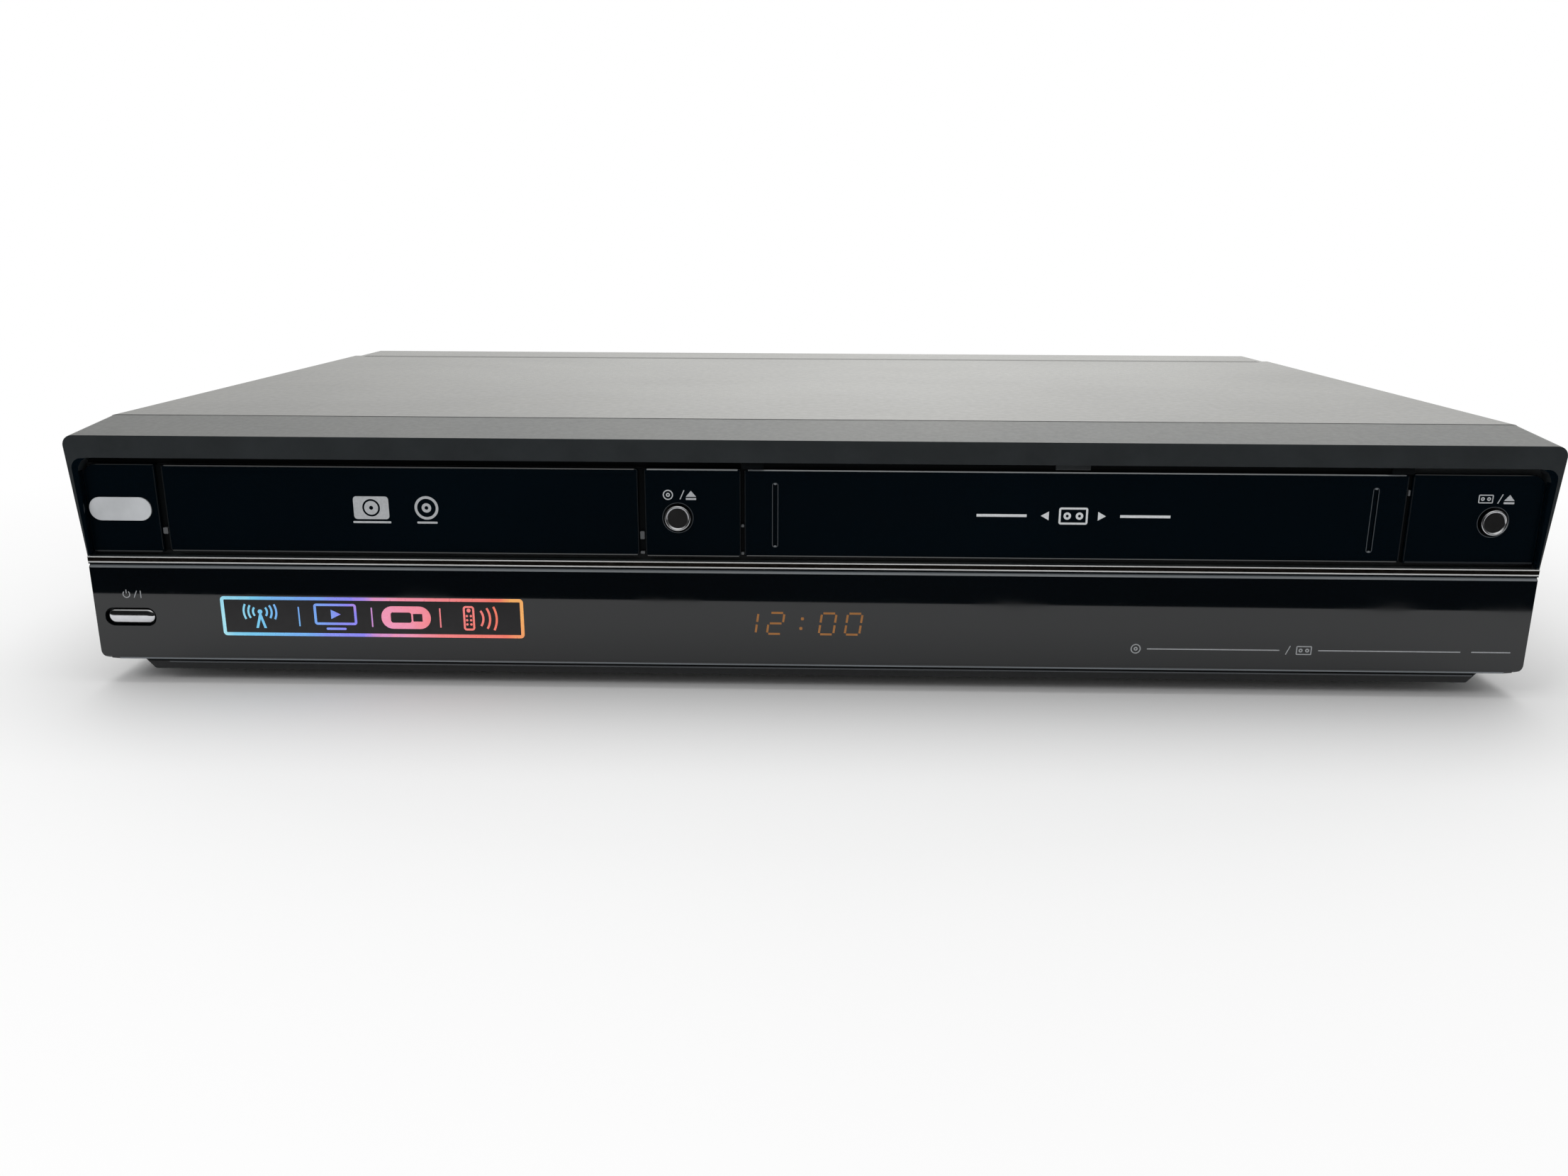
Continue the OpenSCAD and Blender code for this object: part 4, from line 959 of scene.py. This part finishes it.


# Lighter greys on the black panels: painted highlights along their top and bottom edges, and at the door
# slots' ends
bright_painted_highlight = polished("bright_painted_highlight", rgb(112, 116, 119), 0.1, 1.0)
faint_painted_highlight = polished("faint_painted_highlight", rgb(38, 41, 44), 0.1, 0.8)
for lip, x, top, height, on, gloss in (
    ("disc_door_lip", (-187.2, -49.9), DOOR_TOP, 0.3, "tray", faint_painted_highlight),
    ("disc_button_lip", (-46.2, -19.9), DOOR_TOP, 0.3, "case", bright_painted_highlight),
    ("tape_door_lip", (DOOR_LOW + 1, DOOR_HIGH - 1), DOOR_TOP, 0.3, "vcr_door", bright_painted_highlight),
    ("badge_foot", (-211, -190.8), 41, 0.35, "case", faint_painted_highlight),
    ("disc_door_foot", (-187.6, -49.5), 41.3, 0.3, "tray", faint_painted_highlight),
    ("disc_button_foot", (-46.5, -19.6), 41.05, 0.25, "case", faint_painted_highlight),
    ("tape_door_foot", (DOOR_LOW + 0.6, DOOR_HIGH - 0.6), 41.25, 0.25, "vcr_door", faint_painted_highlight),
    ("tape_button_foot", (174.3, 211), 41.3, 0.5, "case", faint_painted_highlight),
):
    edge_lip(lip, x, top, height, on, gloss)

# Painted highlights of the rounded rims of the panels and doors, as fine grey lines down both their sides
rim_painted_highlight = polished("rim_painted_highlight", rgb(25, 28, 31), 0.2)
for rim, sides, on in (
    ("badge_sides", (-190.5,), "case"),
    ("disc_door_sides", (-188, -49.1), "tray"),
    ("button_sides", (-46.8, -19.2, 174), "case"),
    ("tape_door_sides", (DOOR_LOW + 0.2, DOOR_HIGH - 0.2), "vcr_door"),
):
    lines = [round_rect(around(x, 0.12), (41.4, 66.2), 0.05) for x in sides]
    flat_piece(rim, lines, FACE_Y, INK, on, rim_painted_highlight)

# Painted highlights: grey outlines round the door's two upright slots, brighter at their ends, and rings
# round the eject buttons
grey_painted_highlight = polished("grey_painted_highlight", rgb(74, 78, 82), 0.12)
SLOTS, SLOT_W = (-9.9, 162.7), 1.8
rims = [loop for x in SLOTS for loop in framed((x, x + SLOT_W), (43.7, 62.9), 0.8, 0.2)]
flat_piece("door_slot_rims", rims, FACE_Y, FILM, "vcr_door", grey_painted_highlight)
ends = [round_rect((x + 0.5, x + 1.3), (z, z + 0.5), 0.2) for x in SLOTS for z in (43.8, 62.3)]
flat_piece("door_slot_ends", ends, FACE_Y, 0.06, "vcr_door", bright_painted_highlight)
buttons = (middle("disc_eject_button"), middle("tape_eject_button"))
holes = [loop for x, z in buttons for loop in ring(x, z, 4.55, 4.38)]
flat_piece("button_hole_rims", holes, FACE_Y, INK, "case", grey_painted_highlight)

# The rail between the two rows: a painted dark reflection between two painted bead highlights, over a
# painted shadow
TRIM_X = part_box("trim_strip")[1][0] / MM
RAIL, BEAD_STEPS = (-TRIM_X, TRIM_X), 16
# Dark brown chrome: the band's dark reflection painted into its colour
dark_painted_reflection = mirror_metal("dark_painted_reflection", rgb(88, 80, 74), 0.14)
# Pale plastic, not chrome, so that the beads show as bright lines: painted highlight
bead_painted_highlight = polished("bead_painted_highlight", rgb(196, 197, 196), 0.14, 1.0)
trim_band = corners(around(FASCIA_Y, 0.1), (38.15, 39.3))
along_x("trim_band", RAIL, trim_band, "case", dark_painted_reflection)
for bead, z, r in (("upper_trim_bead", 39.42, 0.18), ("lower_trim_bead", 37.95, 0.17)):
    along_x(bead, RAIL, circle(FASCIA_Y, z, r, BEAD_STEPS), "case", bead_painted_highlight)
# A black strip over the lower bead's underside: painted shadow in the gap above the fascia
trim_painted_shadow = corners((FASCIA_Y - 0.02, FASCIA_Y + 0.6), (37.3, 37.66))
along_x("trim_painted_shadow", RAIL, trim_painted_shadow, "case", hinge_black_and_painted_shade)

# The fascia's upper edge, and its rolled lower edge, each with a painted highlight line along it
LIP_X, LIP_R, LIP_LOW, LIP_TURN, LIP_STEPS = 206, 30, 7.85, 6.5, 6
fascia_painted_highlight = polished("fascia_painted_highlight", rgb(98, 104, 109), 0.16, 0.9)
top_edge = [(FASCIA_Y, 36.15), (FASCIA_Y - 0.06, 36.2), (FASCIA_Y + 0.54, 37.01), (FASCIA_Y + 0.6, 36.96)]
bottom_edge = [(FASCIA_Y, 8.28), (FASCIA_Y - 0.1, 8.22), (FASCIA_Y - 0.08, 7.82), (FASCIA_Y + 0.2, 7.88)]
lip_z = LIP_LOW + LIP_R
lower_lip = arc(-LIP_X, lip_z, LIP_R, 270 - LIP_TURN, 270, LIP_STEPS)
lower_lip += arc(LIP_X, lip_z, LIP_R, 270, 270 + LIP_TURN, LIP_STEPS)
lower_lip += [(lower_lip[-1][0], 8.8), (lower_lip[0][0], 8.8)]
along_x("fascia_top_edge", around(0, TRIM_X - 0.3), top_edge, "case", fascia_painted_highlight)
flat_piece("fascia_lower_lip", [lower_lip], FASCIA_Y + 0.5, 0.53, "case", finishes["fascia_gloss"])
along_x("fascia_bottom_edge", around(0, LIP_X + 1), bottom_edge, "case", fascia_painted_highlight)

# A black strip of painted shadow in the gap under the fascia, and a painted highlight line along the
# plinth's top
PLINTH_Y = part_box("base_plinth")[0][1] / MM
plinth_painted_shadow = corners((PLINTH_Y - 0.04, PLINTH_Y + 0.1), (6.55, 7.95))
plinth_line = [(PLINTH_Y, 6.6), (PLINTH_Y - 0.14, 6.52), (PLINTH_Y - 0.12, 6.12), (PLINTH_Y, 6.05)]
along_x("plinth_painted_shadow", around(0, 199.5), plinth_painted_shadow, "case", hinge_black_and_painted_shade)
along_x("plinth_line", (-193, 199), plinth_line, "case", grey_painted_highlight)


def recess_edge(name, side):
    """The gloss-black edge of the upper row's recess, which leaves a narrower rim outside it."""
    inner, foot, top, low = 211.5, 212.1, 213.3, 40
    gloss = finishes["panel_gloss"]
    path = [(inner, low), (foot, low)] + arc(top - 3, 65.8, 3, -2, 90, 8) + [(inner - 6, 68.8)]
    path += reversed(arc(inner - 4, 65, 4, 0, 70, 8))
    loop = [(side * x, z) for x, z in path]
    flat_piece(name, [loop], FASCIA_Y, FILM, "case", gloss)
    wall = sorted((side * (inner - 0.05), side * (inner + 0.25)))
    section = corners((FASCIA_Y - 0.04, FACE_Y), (low, 65))
    along_x(name + "_wall", wall, section, "case", gloss)


recess_edge("recess_edge_left", -1)
recess_edge("recess_edge_right", 1)

# -------------------------------------------------------------- cover fold

FOLD_X, FOLD_Y, COVER_TOP = 206, 96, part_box("top_cover")[1][2] / MM
# A darker, duller strip before the cover's fold: painted darker reflection of the bend
fold_painted_reflection = moulded("fold_painted_reflection", rgb(30, 31, 32), 0.4, skin=0.4)
fold_line = ((-5, 0), (-4.9, 0.03), (0, 0.02), (0, -0.3))
fold = [(FOLD_Y + y, COVER_TOP + z) for y, z in fold_line]
along_x("cover_fold", around(0, FOLD_X), fold, "case", fold_painted_reflection)

# ------------------------------------------------------------ rear sockets

PANEL_Y, REAR_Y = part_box("rear_panel")[1][1] / MM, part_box("av_jacks")[1][1] / MM
SOCKET_FLOOR = 121
JACK_COLUMNS = (104, 120)
JACK_COLOURS = {
    20: moulded("red_core", rgb(186, 28, 30), 0.36, 0.000006),
    34: moulded("white_core", rgb(226, 225, 218), 0.36, 0.000006),
    48: moulded("yellow_core", rgb(226, 182, 30), 0.36, 0.000006),
}
contact_gilt = metal("contact_gilt", rgb(206, 180, 112), 0.24, (30, 1, 30), 0.000004, 0.05)


def jack(tag, at, colour):
    """A phono jack's tinned shell, its collar and core in one colour, and its inner contact."""
    root, lip = PANEL_Y + 1.1, REAR_Y + 0.03
    shell = [(4.1, root + 0.2), (4.19, root + 0.2), (4.19, REAR_Y - 0.15), (4.1, lip), (3.7, lip),
             (3.56, REAR_Y - 0.1), (3.56, root), (3.66, root)]
    collar = [(4.22, PANEL_Y + 1.15), (4.22, PANEL_Y + 1.28), (4.8, PANEL_Y + 1.28), (5.04, PANEL_Y + 1.05),
              (5.04, PANEL_Y + 0.02), (4.9, PANEL_Y + 0.02), (4.9, PANEL_Y + 1)]
    core = [(2.5, root), (2.66, root), (2.66, REAR_Y - 0.2), (2.5, lip), (1.75, lip),
            (1.62, REAR_Y - 0.1), (1.62, REAR_Y - 1.2), (1.9, REAR_Y - 1.2)]
    contact = [(1.56, REAR_Y - 1), (1.64, REAR_Y - 1), (1.64, REAR_Y - 9), (1.56, REAR_Y - 9)]
    tube("jack_shell_" + tag, shell, at, "case", finishes["socket_metal"])
    tube("jack_collar_" + tag, collar, at, "case", colour)
    tube("jack_core_" + tag, core, at, "case", colour)
    tube("jack_contact_" + tag, contact, at, "case", finishes["shaft_steel"])


def rear_relief(name, loops, floor, height, material):
    """A thin raised piece on the floor of a rear recess, sunk a little into it."""
    flat_piece(name, loops, floor + height, height + 0.05, "case", material)


def scart_contacts():
    """Two rows of ten pads in each of the two sockets, the lower row a little to one side."""
    pitch, lower, upper = 3.9, 37.7, 36.3
    return [round_rect(around(start + pitch * i, 0.5), around(z + side * 2.4, 1.3), 0.15)
            for z in (22.5, 43.5) for start, side in ((lower, -1), (upper, 1)) for i in range(10)]


def hdmi_parts():
    """The socket's tongue, and the row of ten pads on it."""
    z, first, pitch = 20.4, 1.9, 0.91
    tongue = [round_rect(around(6, 5), around(z, 0.8), 0.2)]
    return tongue, [round_rect(around(first + pitch * i, 0.26), around(z, 0.5), 0.08) for i in range(10)]


def optical_hatch():
    """The shutter of the optical socket, with the round mark in its middle."""
    return [round_rect(around(142, 3.2), (17.8, 22.3), 0.3), circle(142, 20.2, 1.2, 24)]


for column, x in enumerate(JACK_COLUMNS):
    for z, colour in JACK_COLOURS.items():
        jack("%d_%d" % (column + 1, z), (x, z), colour)
tongue, pads = hdmi_parts()
plastic = finishes["socket_plastic"]
rear_relief("scart_contacts", scart_contacts(), SOCKET_FLOOR, 0.45, contact_gilt)
rear_relief("hdmi_tongue", tongue, SOCKET_FLOOR, 0.3, plastic)
rear_relief("hdmi_contacts", pads, SOCKET_FLOOR + 0.3, 0.15, contact_gilt)
rear_relief("optical_hatch", optical_hatch(), PANEL_Y - 1.2, 0.4, finishes["switch_plastic"])

# ------------------------------------------------------------------- stage

REACH = 6
# Y of the line, at the floor's left and right ends, before which the gloss front mirrors no floor
MIRRORED_EDGE = (-0.29, -0.174)
FADE = (0.24, 0.42)


def stage_material(name, colour, shade):
    """A matt floor that fades to plain white for the camera, away from the player and its shadow."""
    s = Shader(name)
    oval = s.stretched((0.9, 1, 1))
    far = s.add("ShaderNodeVectorMath", {0: oval}, operation="LENGTH").outputs["Value"]
    seen = s.add("ShaderNodeLightPath").outputs["Is Camera Ray"]
    glow = s.add("ShaderNodeEmission", {"Color": WHITE, "Strength": 1}).outputs[0]
    s.set(Base_Color=s.blend(s.span(s.noise(3, 2), 0, 1), colour, shade), Roughness=0.6)
    s.body.inputs["Specular IOR Level"].default_value = 0.1
    white = s.math("MULTIPLY", seen, s.span(far, 0, 1, *FADE))
    mix = s.add("ShaderNodeMixShader", {0: white, 1: s.body.outputs[0], 2: glow})
    s.put(s.nodes["Material Output"].inputs["Surface"], mix.outputs[0])
    return s.material


def floor_piece(name, near, far):
    """A stretch of floor, given by the Y of its left and right ends, near and far."""
    outline = [(-REACH, near[0], 0), (REACH, near[1], 0), (REACH, far[1], 0), (-REACH, far[0], 0)]
    mesh = bpy.data.meshes.new(name)
    mesh.from_pydata(outline, [], [(0, 1, 2, 3)])
    piece = new_object(name, mesh)
    mesh.materials.append(pale)
    return piece


pale = stage_material("pale_floor", rgb(246, 246, 246), rgb(243, 243, 243))
floor_piece("floor", MIRRORED_EDGE, (REACH, REACH))
near_floor = floor_piece("near_floor", (-REACH, -REACH), MIRRORED_EDGE)
near_floor.visible_glossy = False


def softbox(name, place, aim, size, power):
    """A rectangular lamp that shines from its place towards its aim."""
    data = bpy.data.lights.new(name, "AREA")
    data.shape = "RECTANGLE"
    data.size, data.size_y = size
    data.energy = power
    lamp = new_object(name, data)
    lamp.location = place
    lamp.rotation_mode = "QUATERNION"
    lamp.rotation_quaternion = (Vector(aim) - Vector(place)).to_track_quat("-Z", "Y")
    return lamp


softbox("overhead", (0, 0.25, 1.3), (0, 0, 0.05), (1.6, 1.2), 9)
front_lamp = softbox("front_left", (-0.9, -0.9, 0.9), (0, -0.1, 0.05), (0.5, 0.5), 3)
front_lamp.visible_glossy = False


def light_world():
    """A white backdrop for the camera; a softer, front-darker room for everything else."""
    world = bpy.data.worlds.new("room")
    bpy.context.scene.world = world
    w = Tree(world)
    background = w.nodes["Background"]
    ray = w.add("ShaderNodeLightPath").outputs
    way = w.add("ShaderNodeTexCoord").outputs["Generated"]
    x, y, z = w.add("ShaderNodeSeparateXYZ", {0: way}).outputs

    lit = w.span(y, 0.5, 0.75, -0.8, 0.5)
    behind = w.span(y, 0.02, 1, -0.35, 0.2)
    above = w.span(z, 0, 0.9, 0.35, 0.62)
    left = w.span(x, 0.5, 1, -0.62, 0.06)
    right = w.span(x, 1, 0.6, 0.1, 0.75)
    high = w.span(z, 1.02, 1.2, 0.12, 0.42)
    sides = w.math("MULTIPLY", w.math("MULTIPLY", left, right), high)
    mirrored = w.math("MULTIPLY", w.math("MAXIMUM", behind, above), sides)
    room = w.blend(ray["Is Glossy Ray"], lit, mirrored, "FLOAT")
    w.put(background.inputs["Color"], w.blend(ray["Is Glossy Ray"], WHITE, WARM_WHITE))
    w.put(background.inputs["Strength"], w.blend(ray["Is Camera Ray"], room, 1, "FLOAT"))


light_world()
bpy.context.scene.view_settings.view_transform = "Standard"
